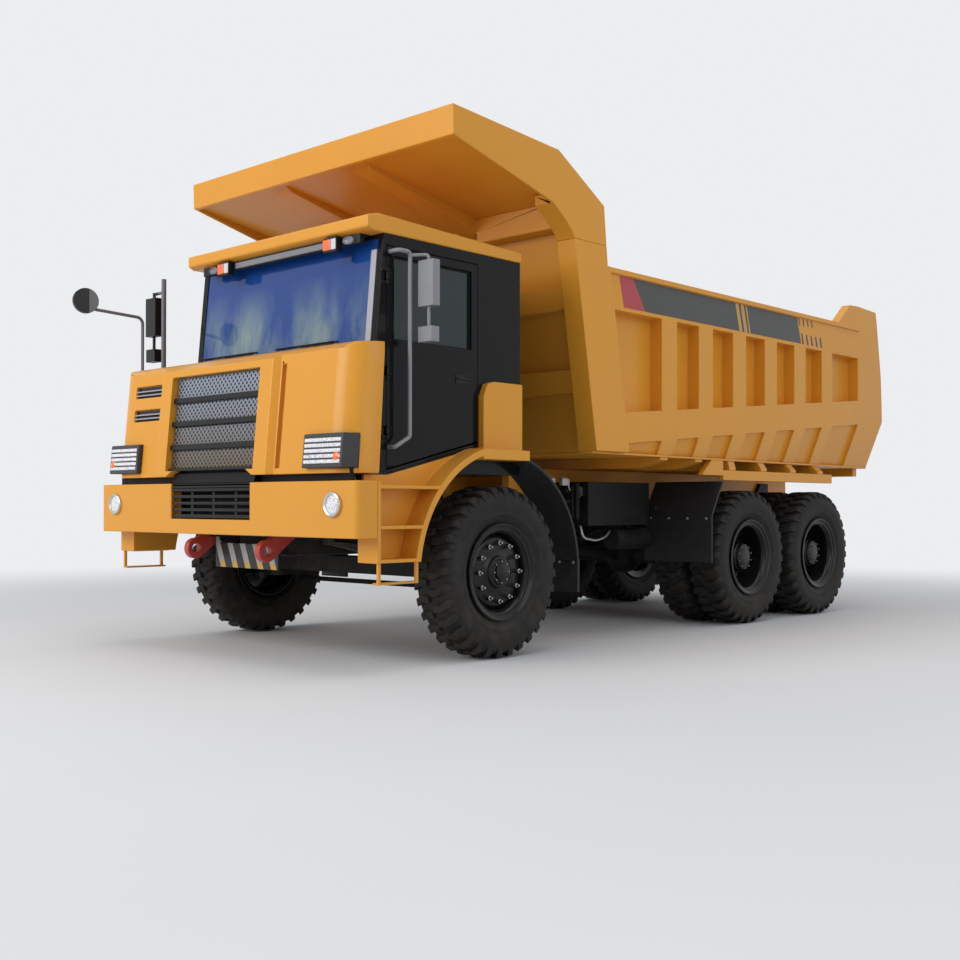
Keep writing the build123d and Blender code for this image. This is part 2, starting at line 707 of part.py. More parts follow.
def right_mirrors():
    """A post on the deck with a tall and a small mirror, and the front mirror on its gooseneck."""
    x, top, arm_z = mirror_post_x, mirror_post_top, mirror_arm_z
    post_y, outer = -(hood_half_width - 40), -mirror_reach
    middle = outer + 80
    post_set = rod((x, post_y, deck_top), (x, post_y, top), 22)
    post_set += rod((x, post_y, arm_z), (x, middle, arm_z), 14)
    post_set += rod((x, middle, arm_z - 45), (x, middle, arm_z + 14), 14)
    post_set += block((x - 40, x + 40), (outer, outer + 160), (arm_z - 390, arm_z - 40))
    post_set += rod((x, middle, arm_z - 510), (x, middle, arm_z - 390), 14)
    post_set += block((x - 40, x + 40), (outer + 10, outer + 150), (arm_z - 625, arm_z - 510))
    y, head_x = gooseneck_y, nose_mirror_x
    neck = bent_bar([(gooseneck_x, y, hood_brow_z), (gooseneck_x, y, 2870), (head_x - 20, y, 2895)], 60, 14)
    neck -= hood_shell(0)
    neck += Plane(origin=(head_x, y, 2955), z_dir=(0.25, 0.97, 0)) * Cylinder(nose_mirror_radius, 40)
    neck += rod((head_x - 22, y, 2894), (head_x - 5, y, 2935), 14)
    return Compound(children=[post_set.solid(), neck.solid()])


# Door


def door():
    """The left door, with its window cut."""
    leaf = slab_y(door_outline(0), cab_left - door_thickness, cab_left)
    leaf -= block(door_window[0], (cab_left - cab_wall - 1, cab_left + 1), door_window[1])
    for z in door_hinge_zs:
        low, high = z - door_knuckle_half, z + door_knuckle_half
        leaf += disc_z(door_hinge_x, door_hinge_y, door_knuckle_radius, low, high)
        leaf += block((door_front - 45, door_front), (cab_left - 1, cab_left + 8), (low, high))
        leaf += block((door_front - 1, door_hinge_x), (cab_left + 0.5, cab_left + 8), (low, high))
        leaf -= disc_z(door_hinge_x, door_hinge_y, door_pin_radius + running_gap, low - 1, high + 1)
    return leaf


door_window = ((185.0, 1020.0), (2440.0, 3060.0))


def door_glass():
    """The pane in the door."""
    y = cab_left - 30
    return block(door_window[0], (y - glass_thickness, y), door_window[1])


def door_mirrors():
    """The tall bar on the door that carries the mirrors and serves as a grab rail."""
    bar_y, bar_x, mirror_x = cab_left + 100, 955, 879
    bar = bent_bar(
        [(1070, cab_left, 3085), (1070, bar_y, 3085), (bar_x, bar_y, 3085), (bar_x, bar_y, 1720),
         (1075, bar_y - 30, 1640), (1075, cab_left, 1640)],
        30, 16,
    )
    centre_y = mirror_reach - 78
    bar += bent_bar([(bar_x, bar_y, 3060), (mirror_x, centre_y, 3060), (mirror_x, centre_y, 3000)], 30, 12)
    bar += rod((mirror_x, centre_y, 3010), (mirror_x, centre_y, 2430), 12)
    bar += block((mirror_x - 35, mirror_x + 35), (mirror_reach - 156, mirror_reach), (2679, 3018))
    return bar + block((mirror_x - 40, mirror_x + 40), (mirror_reach - 150, mirror_reach - 10), (2416, 2528))


# Steering and wheels


def left_knuckle():
    """The steering knuckle: two lugs on the kingpin, an upright, the spindle and the steering arm."""
    lug_low = (knuckle_low, knuckle_low + knuckle_lug_height)
    lug_high = (knuckle_high - knuckle_lug_height, knuckle_high)
    knuckle = block((-75, 75), (kingpin_y + 82, kingpin_y + 115), (knuckle_low, knuckle_high))
    for low, high in (lug_low, lug_high):
        knuckle += disc_z(0, kingpin_y, knuckle_lug_radius, low, high)
        knuckle += block((-75, 75), (kingpin_y, kingpin_y + 83), (low, high))
    knuckle += block((-steering_arm_length, 0), (kingpin_y - 40, kingpin_y + 40), lug_low)
    knuckle += disc_z(-steering_arm_length, kingpin_y, 40, *lug_low)
    knuckle += disc_z(-steering_arm_length, kingpin_y, 16, tie_rod_z - 32, knuckle_low)
    knuckle += disc_y(0, tyre_radius, spindle_radius, kingpin_y + 110, 1600)
    return knuckle - disc_z(0, kingpin_y, kingpin_radius + running_gap, knuckle_low - 1, knuckle_high + 1)


def right_knuckle():
    """The same knuckle on the right."""
    return mirror(left_knuckle(), about=Plane.XZ)


def tie_rod():
    """The tie rod behind the axle, with an eye on each steering arm's pin."""
    x = -steering_arm_length
    bar = disc_y(x, tie_rod_z, 22, -kingpin_y, kingpin_y)
    for y in (-kingpin_y, kingpin_y):
        bar += disc_z(x, y, 34, tie_rod_z - 27, tie_rod_z + 28)
    for y in (-kingpin_y, kingpin_y):
        bar -= disc_z(x, y, 16 + running_gap, tie_rod_z - 40, tie_rod_z + 40)
    return bar


def tyre_row(side):
    """A tyre from its middle groove out to one side, with flat-faced lugs as wide as the gaps between them."""
    quarter = radians(90 / lug_count)
    tip = tyre_radius / cos(quarter)
    sections = []
    for offset, casing, lug in (
        (tyre_groove_half, tyre_casing_radius, tip), (tyre_tread_half, tyre_casing_radius, tip),
        (tyre_width / 2, tyre_shoulder_radius, tyre_shoulder_radius),
    ):
        section = []
        for i in range(lug_count):
            front = radians(360 * i / lug_count - 90) + quarter * (side - 2)
            for turn, radius in ((front, casing), (front, lug), (front + 2 * quarter, lug), (front + 2 * quarter, casing)):
                section.append((radius * cos(turn), side * offset, radius * sin(turn)))
        sections.append(section)
    middle, tread, shoulder = sections
    caps = [Face(Wire.make_polygon(middle)), Face(Wire.make_polygon(shoulder[::2]))]
    row = Solid(Shell([*caps, *flat_sides(middle, tread), *flat_sides(tread, shoulder)]))
    foot = [point for i, point in enumerate(middle) if i % 4 in (0, 3)]
    return row + hexahedron([(x, 0, z) for x, y, z in foot], foot)


def tyre(x, y):
    """One tyre with two rows of lugs half a pitch apart, hollowed beside its beads for the rim's flanges."""
    whole = tyre_row(1) + tyre_row(-1) - prism_y(bore_sides, tyre_bead_radius, -tyre_width, tyre_width)
    for side in (1, -1):
        whole -= prism_y(seat_sides, tyre_seat_radius, side * tyre_bead_half, side * tyre_width)
    return Pos(x, y, tyre_radius) * whole.solid()


def ring_y(x, y0, y1, inner, outer):
    """A ring round an axle."""
    return disc_y(x, tyre_radius, outer, y0, y1) - disc_y(x, tyre_radius, inner, y0 - 1, y1 + 1)


def rim_well(x, y):
    """The barrel of a rim with its two flanges."""
    outer = tyre_bead_radius - running_gap
    well = ring_y(x, y - 168, y + 168, outer - rim_wall, outer)
    for y0, y1 in ((y - 168, y - 154), (y + 154, y + 168)):
        well += ring_y(x, y0, y1, outer - rim_wall, rim_flange_radius)
    return well


def front_rim():
    """A left front rim: well, disc near the outer side and the hub with its cap."""
    y, bore = front_wheel_y, spindle_radius + running_gap
    rim = rim_well(0, y) + ring_y(0, y + 88, y + 113, 90, 305)
    rim += ring_y(0, y - 110, y + 145, bore, 125)
    return rim + disc_y(0, tyre_radius, 100, y + 110, y + 165)


def rear_rim(x):
    """A left rear twin rim: two wells on one hub, with the hub's reduction case in the outer well."""
    bore = spindle_radius + running_gap
    rim = rim_well(x, rear_inner_wheel_y) + rim_well(x, rear_outer_wheel_y)
    rim += ring_y(x, rear_inner_wheel_y + 160, rear_outer_wheel_y - 160, 90, rim_flange_radius - 60)
    rim += ring_y(x, 850, 1490, bore, 150)
    return rim + disc_y(x, tyre_radius, 150, 1485, 1560)


# Rock bed


def column_front_x(z):
    """The leaning front edge of the headboard's corner columns."""
    return column_top_x - column_lean * (column_top_z - z)


def column_rear_x(z):
    """The leaning rear edge of the columns, where the side walls start."""
    return -1347.0 - 0.176 * (bed_rail_high - z)


belt_front_x = column_rear_x(belt_low_front)


def belt_low(x):
    """Height of the belt's lower edge, which climbs towards the tail."""
    return belt_low_front + belt_slope * (belt_front_x - x)


def belt_high(x):
    """Height of the belt's upper edge."""
    return belt_high_front + belt_slope * (belt_front_x - x)


def chine_y(x):
    """Half width of the floor, where the leaning lower panel meets it."""
    return wall_outer_y - chamfer_lean * (belt_low(x) - floor_low - floor_wall)


def underside_z(x):
    """Height of the canopy's underside."""
    nose_x, nose_z = canopy_nose[0]
    return nose_z - canopy_slope * (nose_x - x)


def bed_floor():
    """The floor plate, whose front corners reach under the columns, and the wear plate welded on it."""
    high = floor_low + floor_wall
    corner, inner = column_front_x(high), column_inner_y
    front = corner - headboard_recess
    plate = slab_z(
        [(corner, chine_y(corner)), (bed_tail, chine_y(bed_tail)), (bed_tail, -chine_y(bed_tail)),
         (corner, -chine_y(corner)), (corner, -inner), (front, -inner), (front, inner), (corner, inner)],
        floor_low, high,
    )
    front -= headboard_wall + 15
    rear, side = tailgate_front + 40, wall_outer_y - wall_inner_y + 8
    wear = slab_z(
        [(front, chine_y(front) - side), (rear, chine_y(rear) - side), (rear, side - chine_y(rear)),
         (front, side - chine_y(front))],
        high - 1, high + wear_plate,
    )
    return plate + wear


def bed_beams():
    """The two main beams under the floor, bored for the pins that the bed tips on."""
    beam = block(
        (beam_rear, beam_front), (rail_inner_y + beam_clearance, rail_outer_y - beam_clearance),
        (rail_top + bed_gap, beam_high),
    )
    return both_sides(beam - disc_y(tip_pivot_x, tip_pivot_z, tip_pin_radius + running_gap, 0, 600))


def bed_cross_members():
    """The members across the beams, whose ends taper up to the floor's edge or carry the wheel covers."""
    members = [block((-6800, -6700), (-front_member_half, front_member_half), (beam_high, floor_low))]
    for i in range(rib_count):
        x = first_rib_x - rib_width / 2 - rib_pitch * i
        edge = chine_y(x) - 10
        half, knee = front_member_half, floor_low - 25
        if cover_rear < x < cover_front:
            half, knee = cover_outer_y, beam_high + 30
        right = [(half, beam_high), (max(half, edge), knee), (edge, floor_low)]
        if half > edge:
            right = [(half, beam_high), (half, knee), (edge, floor_low)]
        left = [(-y, z) for y, z in reversed(right)]
        members.append(slab_x(right + left, x - 60, x + 60))
    return Compound(children=[member.solid() for member in members])


def wheel_covers():
    """The bars along the bed's sides over the twin wheels, with a gusset up to the floor ahead of each."""
    cover = slab_y(
        [(cover_rear, cover_low), (cover_front, cover_low), (cover_front, gusset_low), (gusset_foot_x, gusset_low),
         (gusset_foot_x, gusset_low + 15), (gusset_head_x, floor_low), (cover_front, floor_low),
         (cover_front, beam_high), (cover_rear, beam_high)],
        cover_inner_y, cover_outer_y,
    )
    return both_sides(cover)


def rib_spans():
    """Front and rear of each rib."""
    return [(first_rib_x - rib_pitch * i, first_rib_x - rib_pitch * i - rib_width) for i in range(rib_count)]


def leaning_strip(x_high, x_low, x_rear, step, depth):
    """A strip of the leaning lower panel, a step behind the line from the belt to the floor's edge."""
    floor_top, outlines = floor_low + floor_wall, []
    for x_top, x_foot in ((x_high, x_low), (x_rear, x_rear)):
        high, edge = belt_low(x_top), chine_y(x_foot)
        outlines.append(
            [(x_top, wall_outer_y - step, high), (x_foot, edge - step, floor_top), (x_foot, edge - depth, floor_top),
             (x_top, wall_outer_y - depth, high)]
        )
    return hexahedron(*outlines)


def side_pockets():
    """Outlines of the recesses between the column, the ribs and the rear post."""
    edges = [(column_rear_x(rail_low_z) + 20, column_rear_x(belt_high_front) + 20)]
    for front, rear in rib_spans():
        edges += [(front, front), (rear, rear)]
    edges.append((post_front, post_front))
    outlines = []
    for front, rear in zip(edges[0::2], edges[1::2]):
        outlines.append(
            [(front[0], rail_low_z), (front[1], belt_high(front[1])), (rear[1], belt_high(rear[1])),
             (rear[0], rail_low_z)]
        )
    return outlines


def bed_side():
    """The left side with its recesses, the leaning lower panel and the ear that holds the tailgate's pin."""
    top, inner, outer = bed_rail_high, wall_inner_y, wall_outer_y
    tail = bed_tail
    side = slab_y(
        [(belt_front_x, belt_low_front), (column_rear_x(top), top), (post_front, top), (-6715, top + 88),
         (-6824, 2759), (tail, 2313), (tail, belt_low(tail))],
        inner, outer,
    )
    for outline in side_pockets():
        side -= slab_y(outline, wall_panel_y, outer + 20)
    side += slab_y(
        [(column_rear_x(top - rail_lip_height), top - rail_lip_height), (column_rear_x(top), top),
         (post_front, top), (post_front, top - rail_lip_height)],
        outer - 1, outer + rail_lip_proud,
    )
    side += slab_y(
        [(-5702, top - 5), (-6003, top + 240), (-6200, top + 250), (-6680, top + 230), (-6715, top + 85),
         (-6300, top - 20)],
        1580, outer,
    )
    side += disc_y(tailgate_hinge_x, tailgate_hinge_z, tailgate_pin_radius, 1430, 1590)
    side += leaning_strip(belt_front_x, column_rear_x(floor_low + floor_wall), tail, panel_step, outer - inner)
    for x_front, x_rear in rib_spans() + [(post_front, tail)]:
        side += leaning_strip(x_front, x_front, x_rear, 0, panel_step + 15)
    return side


def bed_sides():
    """Both sides of the bed."""
    return both_sides(bed_side())


def headboard():
    """The front wall: a recessed plate between two box columns, with ribs across it and the hoist's ears."""
    top = underside_z(column_front_x(3611) - headboard_recess)
    foot = floor_low + floor_wall
    plate = slab_y(
        [
            (column_front_x(foot) - headboard_recess, foot), (column_front_x(top) - headboard_recess, top),
            (column_front_x(top) - headboard_recess - headboard_wall, top),
            (column_front_x(foot) - headboard_recess - headboard_wall, foot),
        ],
        -column_inner_y, column_inner_y,
    )
    column = slab_y(
        [
            (column_top_x, column_top_z), (column_front_x(foot), foot), (column_rear_x(foot) + running_gap, foot),
            (column_rear_x(bed_rail_high) + running_gap, bed_rail_high), column_shoulder,
            (seam_rear_x, column_top_z),
        ],
        column_inner_y, canopy_half_width,
    )
    for z in (2300, 3010):
        rib = slab_y(
            [
                (column_front_x(z - 100) - headboard_recess - 5, z - 100),
                (column_front_x(z - 100) - headboard_recess + 70, z - 100),
                (column_front_x(z + 100) - headboard_recess + 70, z + 100),
                (column_front_x(z + 100) - headboard_recess - 5, z + 100),
            ],
            180, column_inner_y + 1,
        )
        column += rib
    eye_x, eye_z = hoist_eye
    ear = block((column_front_x(eye_z) - headboard_recess - 20, eye_x), (72, 102), (eye_z - 75, eye_z + 75))
    ear += disc_y(eye_x, eye_z, 75, 72, 102)
    return plate + both_sides(column + ear)


def canopy():
    """The canopy over the cab, recessed beneath between its side plates and carried on two cheeks."""
    top = underside_z(column_front_x(3611) - headboard_recess)
    plate_x = column_front_x(top) - headboard_recess
    shell = slab_y(
        [
            canopy_nose[1], canopy_ridge, canopy_tail, canopy_heel, (plate_x - headboard_wall, top), (plate_x, top),
            canopy_nose[0],
        ],
        -canopy_half_width, canopy_half_width,
    )
    front_x, roof_front = canopy_nose[0][0] - canopy_front_wall, underside_z(canopy_nose[0][0]) + recess_front_depth
    roof_rear = top + recess_rear_depth
    plate_head_x = column_front_x(roof_rear) - headboard_recess
    shell -= slab_y(
        [(front_x, roof_front), (plate_head_x, roof_rear), (plate_x, top), (plate_x, top - 200), (front_x, top - 200)],
        canopy_side_wall - canopy_half_width, canopy_half_width - canopy_side_wall,
    )
    cheek = slab_y(
        [
            (-556, underside_z(-556)), (-713, 3611), (-820, 3512), (column_top_x, column_top_z),
            (seam_rear_x, column_top_z), canopy_heel, (plate_x - 5, roof_rear + 5), (-556, roof_rear + 45),
        ],
        column_inner_y, canopy_half_width,
    )
    header = slab_y(
        [
            (column_front_x(header_low) + header_proud, header_low),
            (column_front_x(header_low) - headboard_recess, header_low), (plate_x, top),
            (plate_head_x, roof_rear), (plate_head_x, roof_rear + 20),
            (column_front_x(roof_rear) + header_proud, roof_rear + 30),
        ],
        header_inner_y, column_inner_y + 1,
    )
    stiffener = slab_y(
        [
            (front_x - 20, roof_front + 10), (front_x - 110, underside_z(front_x - 110) + 5),
            (-124, underside_z(-124) + 20), (column_front_x(3700) + header_proud, 3665),
            (plate_x, 3665), (plate_head_x, roof_rear + 20),
        ],
        stiffener_y - stiffener_half, stiffener_y + stiffener_half,
    )
    return shell + both_sides(cheek) + both_sides(header) + both_sides(stiffener)


def tailgate():
    """The tailgate, hung from pins at the top of the rear posts."""
    half, low_half = wall_inner_y - 10, chine_y(bed_tail) - (wall_outer_y - wall_inner_y) - 10
    low, high = floor_low + floor_wall + 10, 3420
    knee = belt_low(bed_tail)
    gate = slab_x(
        [(-half, high), (half, high), (half, knee + 15), (low_half, low), (-low_half, low), (-half, knee + 15)],
        tailgate_front - tailgate_thickness, tailgate_front,
    )
    arm = slab_y(
        [(tailgate_front - tailgate_thickness, high - 5), (tailgate_front, high - 5),
         (tailgate_hinge_x + 40, tailgate_hinge_z - 20), (tailgate_hinge_x, tailgate_hinge_z + 45),
         (tailgate_front - tailgate_thickness, tailgate_hinge_z + 20)],
        1440, half,
    )
    arm += disc_y(tailgate_hinge_x, tailgate_hinge_z, 50, 1440, half)
    bore = disc_y(tailgate_hinge_x, tailgate_hinge_z, tailgate_pin_radius + running_gap, 1400, 1560)
    return gate + both_sides(arm) - both_sides(bore)


# Hoist


def hoist_plane():
    """A plane on the hoist's foot pin whose Z axis runs up the hoist."""
    (foot_x, foot_z), (eye_x, eye_z) = hoist_foot, hoist_eye
    return Plane(origin=(foot_x, 0, foot_z), x_dir=(0, 1, 0), z_dir=(eye_x - foot_x, 0, eye_z - foot_z))


def hoist_tube(outer, bore, low, high):
    """One tube of the hoist, between two distances from its foot pin."""
    tube = Pos(0, 0, (low + high) / 2) * Cylinder(outer, high - low)
    tube -= Pos(0, 0, (low + 20 + high + 1) / 2) * Cylinder(bore, high + 1 - low - 20)
    return hoist_plane() * tube


def hoist_barrel():
    """The outer tube with its foot eye."""
    tube = hoist_tube(hoist_radii[0], hoist_bores[0], 110, 1930)
    (foot_x, foot_z) = hoist_foot
    eye = disc_y(foot_x, foot_z, 85, -hoist_cheek_gap, hoist_cheek_gap)
    neck = hoist_plane() * Pos(0, 0, 85) * Box(200, 130, 70)
    bore = disc_y(foot_x, foot_z, hoist_pin_radius + running_gap, -200, 200)
    return tube + neck + eye - bore


def hoist_stage_1():
    """The first moving tube."""
    return hoist_tube(hoist_radii[1], hoist_bores[1], 140, 1960)


def hoist_stage_2():
    """The second moving tube."""
    return hoist_tube(hoist_radii[2], hoist_bores[2], 170, 1990)


def hoist_rod():
    """The last stage, with the eye between the headboard's ears."""
    (foot_x, foot_z), (eye_x, eye_z) = hoist_foot, hoist_eye
    length = ((eye_x - foot_x) ** 2 + (eye_z - foot_z) ** 2) ** 0.5
    bar = hoist_plane() * Pos(0, 0, (200 + length) / 2) * Cylinder(hoist_radii[3], length - 200)
    return bar + disc_y(eye_x, eye_z, 66, -66, 66)


def wheel_pairs():
    """Names and shapes of the wheels: each front wheel, and each twin wheel of the two rear axles."""
    parts = {}
    front_tyre, front_well = tyre(0, front_wheel_y), front_rim()
    parts["front_left_tyre"], parts["front_left_rim"] = front_tyre, front_well
    parts["front_right_tyre"] = mirror(front_tyre, about=Plane.XZ)
    parts["front_right_rim"] = mirror(front_well, about=Plane.XZ)
    for name, x in zip(("middle", "rear"), rear_axle_xs):
        twin = Compound(children=[tyre(x, rear_inner_wheel_y), tyre(x, rear_outer_wheel_y)])
        well = rear_rim(x)
        parts[f"{name}_left_tyres"], parts[f"{name}_left_rims"] = twin, well
        parts[f"{name}_right_tyres"] = mirror(twin, about=Plane.XZ)
        parts[f"{name}_right_rims"] = mirror(well, about=Plane.XZ)
    return parts


makers = (
    frame_rails, frame_cross_members, engine_block, radiator, front_axle, rear_axles, suspension, driveline, left_tanks,
    fuel_tank, bumper, lower_grille, hood, upper_grille, front_lamps, tow_hooks, skid_plate, left_fender, right_fender,
    front_guards, rear_guards, deck, cab_shell, cab_roof, cab_glass, seats, dashboard, roof_lamps, right_mirrors,
    door, door_glass, door_mirrors, left_knuckle, right_knuckle, tie_rod, bed_floor, bed_beams,
    bed_cross_members, wheel_covers, bed_sides, headboard, canopy, tailgate, hoist_barrel, hoist_stage_1, hoist_stage_2, hoist_rod,
)

os.makedirs("parts", exist_ok=True)
shapes = {maker.__name__: maker() for maker in makers}
shapes.update(wheel_pairs())
for name, shape in shapes.items():
    export_step(Pos(shift_x, 0, 0) * shape, f"parts/{name}.step")
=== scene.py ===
import json
import math

import bpy
from mathutils import Matrix, Vector

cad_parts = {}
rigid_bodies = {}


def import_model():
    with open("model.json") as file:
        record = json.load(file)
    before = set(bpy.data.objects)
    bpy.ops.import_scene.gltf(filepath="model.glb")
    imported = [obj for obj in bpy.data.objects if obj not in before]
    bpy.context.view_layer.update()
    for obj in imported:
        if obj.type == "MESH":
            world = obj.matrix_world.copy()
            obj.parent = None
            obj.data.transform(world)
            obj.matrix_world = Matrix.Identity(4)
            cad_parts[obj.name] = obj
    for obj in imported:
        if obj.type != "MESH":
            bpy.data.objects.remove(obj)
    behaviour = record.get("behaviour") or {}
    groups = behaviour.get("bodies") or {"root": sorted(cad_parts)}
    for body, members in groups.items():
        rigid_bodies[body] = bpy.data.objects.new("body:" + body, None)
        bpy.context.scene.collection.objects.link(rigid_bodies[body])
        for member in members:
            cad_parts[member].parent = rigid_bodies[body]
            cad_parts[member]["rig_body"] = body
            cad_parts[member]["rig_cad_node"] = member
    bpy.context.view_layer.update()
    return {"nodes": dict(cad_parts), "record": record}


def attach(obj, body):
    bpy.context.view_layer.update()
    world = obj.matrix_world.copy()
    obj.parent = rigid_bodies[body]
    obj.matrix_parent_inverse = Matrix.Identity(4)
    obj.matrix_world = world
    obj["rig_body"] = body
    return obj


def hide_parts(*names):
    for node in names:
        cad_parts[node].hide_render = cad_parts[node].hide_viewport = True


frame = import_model()
nodes = frame["nodes"]

# -----------------------------------------------------------------------------
# The studio: a plain pale floor and backdrop, a broad lamp ahead of the truck, a weaker one at its left,
# a softbox overhead, and the camera low at the truck's front left corner.


def wired(tree, value, socket):
    """Gives a socket a plain value, or joins another node's output to it."""
    if isinstance(value, (int, float, tuple)):
        socket.default_value = value
    else:
        tree.links.new(value, socket)


def part(tree, kind, **values):
    """A shader node with its settings and inputs filled in."""
    new = tree.nodes.new(kind)
    for key, value in values.items():
        if hasattr(new, key):
            setattr(new, key, value)
        else:
            wired(tree, value, new.inputs[key.replace("_", " ")])
    return new


def maths(tree, operation, *values, clamp=False):
    """The outcome of an operation on numbers or other nodes' outputs."""
    new = part(tree, "ShaderNodeMath", operation=operation, use_clamp=clamp)
    for value, socket in zip(values, new.inputs):
        wired(tree, value, socket)
    return new.outputs[0]


def spanned(tree, value, start, end, top=1.0, **settings):
    """Goes from nothing to top while the value goes from start to end."""
    return part(tree, "ShaderNodeMapRange", Value=value, From_Min=start, From_Max=end, To_Max=top,
                **settings).outputs[0]


def spot_on(tree):
    """Where on the piece the colour is asked for."""
    return tree.nodes.new("ShaderNodeTexCoord").outputs["Object"]


def pictured(tree):
    """1 on the rays that carry a picture: to the camera, through glass or off a gloss."""
    ray = tree.nodes.new("ShaderNodeLightPath").outputs
    straight = maths(tree, "MAXIMUM", ray["Is Camera Ray"], ray["Is Transmission Ray"])
    return maths(tree, "MAXIMUM", straight, ray["Is Glossy Ray"])


def either(tree, amount, first, second, end):
    """Ends a shader tree with the first surface turning into the second."""
    new = tree.nodes.new("ShaderNodeMixShader")
    for source, socket in zip((amount, first.outputs[0], second.outputs[0]), new.inputs):
        tree.links.new(source, socket)
    tree.links.new(new.outputs[0], end.inputs["Surface"])


horizon = (0.84, 0.85, 0.87, 1)
world = bpy.data.worlds.new("studio")
bpy.context.scene.world = world
world.use_nodes = True
air = world.node_tree
air.nodes.clear()
seen = part(air, "ShaderNodeBackground", Color=horizon, Strength=1.0)
felt = part(air, "ShaderNodeBackground", Color=(0.93, 0.96, 1.0, 1), Strength=0.42)
either(air, pictured(air), felt, seen, air.nodes.new("ShaderNodeOutputWorld"))


def shut():
    """Ends the editing of a piece."""
    bpy.ops.object.mode_set(mode="OBJECT")


def bare():
    """Nothing is selected, and no piece is being edited."""
    if bpy.context.mode != "OBJECT":
        shut()
    bpy.ops.object.select_all(action="DESELECT")


def hold(*pieces):
    """Only these pieces are selected, and the first is the active one."""
    bare()
    for piece in pieces:
        piece.select_set(True)
    bpy.context.view_layer.objects.active = pieces[0]


def lamp(name, place, aim, size, power, colour):
    """A square soft lamp that faces a point."""
    bare()
    bpy.ops.object.light_add(type="AREA", location=place)
    light = bpy.context.object
    light.name = name
    light.data.size = size
    light.data.energy = power
    light.data.color = colour
    light.rotation_euler = (Vector(aim) - Vector(place)).to_track_quat("-Z", "Y").to_euler()


lamp("front_lamp", (15.5, -3.0, 7.5), (2.5, 0, 1.9), 9.0, 1250, (1.0, 0.985, 0.96))
lamp("left_lamp", (2.0, 14.0, 7.0), (0.0, 0.5, 2.0), 10.0, 400, (0.97, 0.985, 1.0))
lamp("top_lamp", (0.0, 1.0, 13.0), (0, 0, 2), 11.0, 560, (1, 1, 1))

bare()
bpy.ops.mesh.primitive_plane_add(size=160, location=(0, 0, 0))
floor = bpy.context.object
floor.name = "floor"
floor_paint = bpy.data.materials.new("pale_floor")
floor_paint.use_nodes = True
floor.data.materials.append(floor_paint)
ground = floor_paint.node_tree
ground_face = ground.nodes["Principled BSDF"]
ground_face.inputs["Roughness"].default_value = 0.75
floor_spot = spot_on(ground)
cloudy = part(ground, "ShaderNodeTexNoise", Scale=0.35, Detail=2, Vector=floor_spot)
tone = part(ground, "ShaderNodeValToRGB", Fac=cloudy.outputs["Fac"])
tone.color_ramp.elements[0].color = (0.68, 0.69, 0.71, 1)
tone.color_ramp.elements[1].color = (0.74, 0.75, 0.77, 1)
ground.links.new(tone.outputs["Color"], ground_face.inputs["Base Color"])
from_middle = part(ground, "ShaderNodeVectorMath", operation="LENGTH")
ground.links.new(floor_spot, from_middle.inputs[0])
haze_start, haze_end = 5.5, 14.0
far_off = spanned(ground, from_middle.outputs["Value"], haze_start, haze_end, interpolation_type="SMOOTHSTEP")
haze = part(ground, "ShaderNodeEmission", Color=horizon, Strength=1.0)
either(ground, maths(ground, "MULTIPLY", far_off, pictured(ground)), ground_face, haze,
       ground.nodes["Material Output"])

camera_data = bpy.data.cameras.new("camera")
camera = bpy.data.objects.new("camera", camera_data)
bpy.context.scene.collection.objects.link(camera)
camera_data.sensor_width = 36
camera_data.lens = 44.96
camera_data.shift_y = 0.0165
camera_data.clip_end = 300
yaw, pitch, roll = 3.8915, 0.0072, 0.002
look = Vector((math.cos(yaw) * math.cos(pitch), math.sin(yaw) * math.cos(pitch), math.sin(pitch)))
level = look.to_track_quat("-Z", "Y")
camera.rotation_euler = (level @ Matrix.Rotation(roll, 3, "Z").to_quaternion()).to_euler()
camera.location = (9.5041, 8.0077, 1.2204)
bpy.context.scene.camera = camera
bpy.context.scene.view_settings.view_transform = "Standard"

# -----------------------------------------------------------------------------
# The frame: two welded box rails with their cross members, the engine, the radiator, the gearbox and
# shafts, the axles and the steering, all painted satin dark grey and dusty from below.


def texture(tree, kind, **values):
    """The outputs of a pattern laid over the piece."""
    values.setdefault("Vector", spot_on(tree))
    return part(tree, "ShaderNodeTex" + kind, **values).outputs


def axes_of(tree, vector):
    """A vector's X, Y and Z."""
    new = tree.nodes.new("ShaderNodeSeparateXYZ")
    tree.links.new(vector, new.inputs[0])
    return new.outputs


def blended(tree, amount, first, second):
    """The first colour turning into the second."""
    new = part(tree, "ShaderNodeMix", data_type="RGBA")
    for value, socket in zip((amount, first, second), (new.inputs[0], new.inputs[6], new.inputs[7])):
        wired(tree, value, socket)
    return new.outputs[2]


weathered = bpy.data.node_groups.new("weathered_surface", "ShaderNodeTree")
for label, value in (("Colour", (0.5, 0.5, 0.5, 1)), ("Dust", 0.2), ("Shade", 0.06), ("Roughness", 0.4),
                     ("Grain size", 220.0)):
    kind = "NodeSocketColor" if label == "Colour" else "NodeSocketFloat"
    weathered.interface.new_socket(name=label, in_out="INPUT", socket_type=kind).default_value = value
for label in ("Colour", "Roughness", "Grain"):
    kind = "NodeSocketColor" if label == "Colour" else "NodeSocketFloat"
    weathered.interface.new_socket(name=label, in_out="OUTPUT", socket_type=kind)
given = weathered.nodes.new("NodeGroupInput").outputs
result = weathered.nodes.new("NodeGroupOutput").inputs
broad = texture(weathered, "Noise", Scale=1.7, Detail=4.0, Roughness=0.6)["Fac"]
patch = texture(weathered, "Noise", Scale=9.0, Detail=5.0, Roughness=0.65)["Fac"]
grain = texture(weathered, "Noise", Scale=given["Grain size"], Detail=2.0)["Fac"]
upward = axes_of(weathered, part(weathered, "ShaderNodeNewGeometry").outputs["Normal"])["Z"]
splash_top, splash_full = 1.9, 0.2
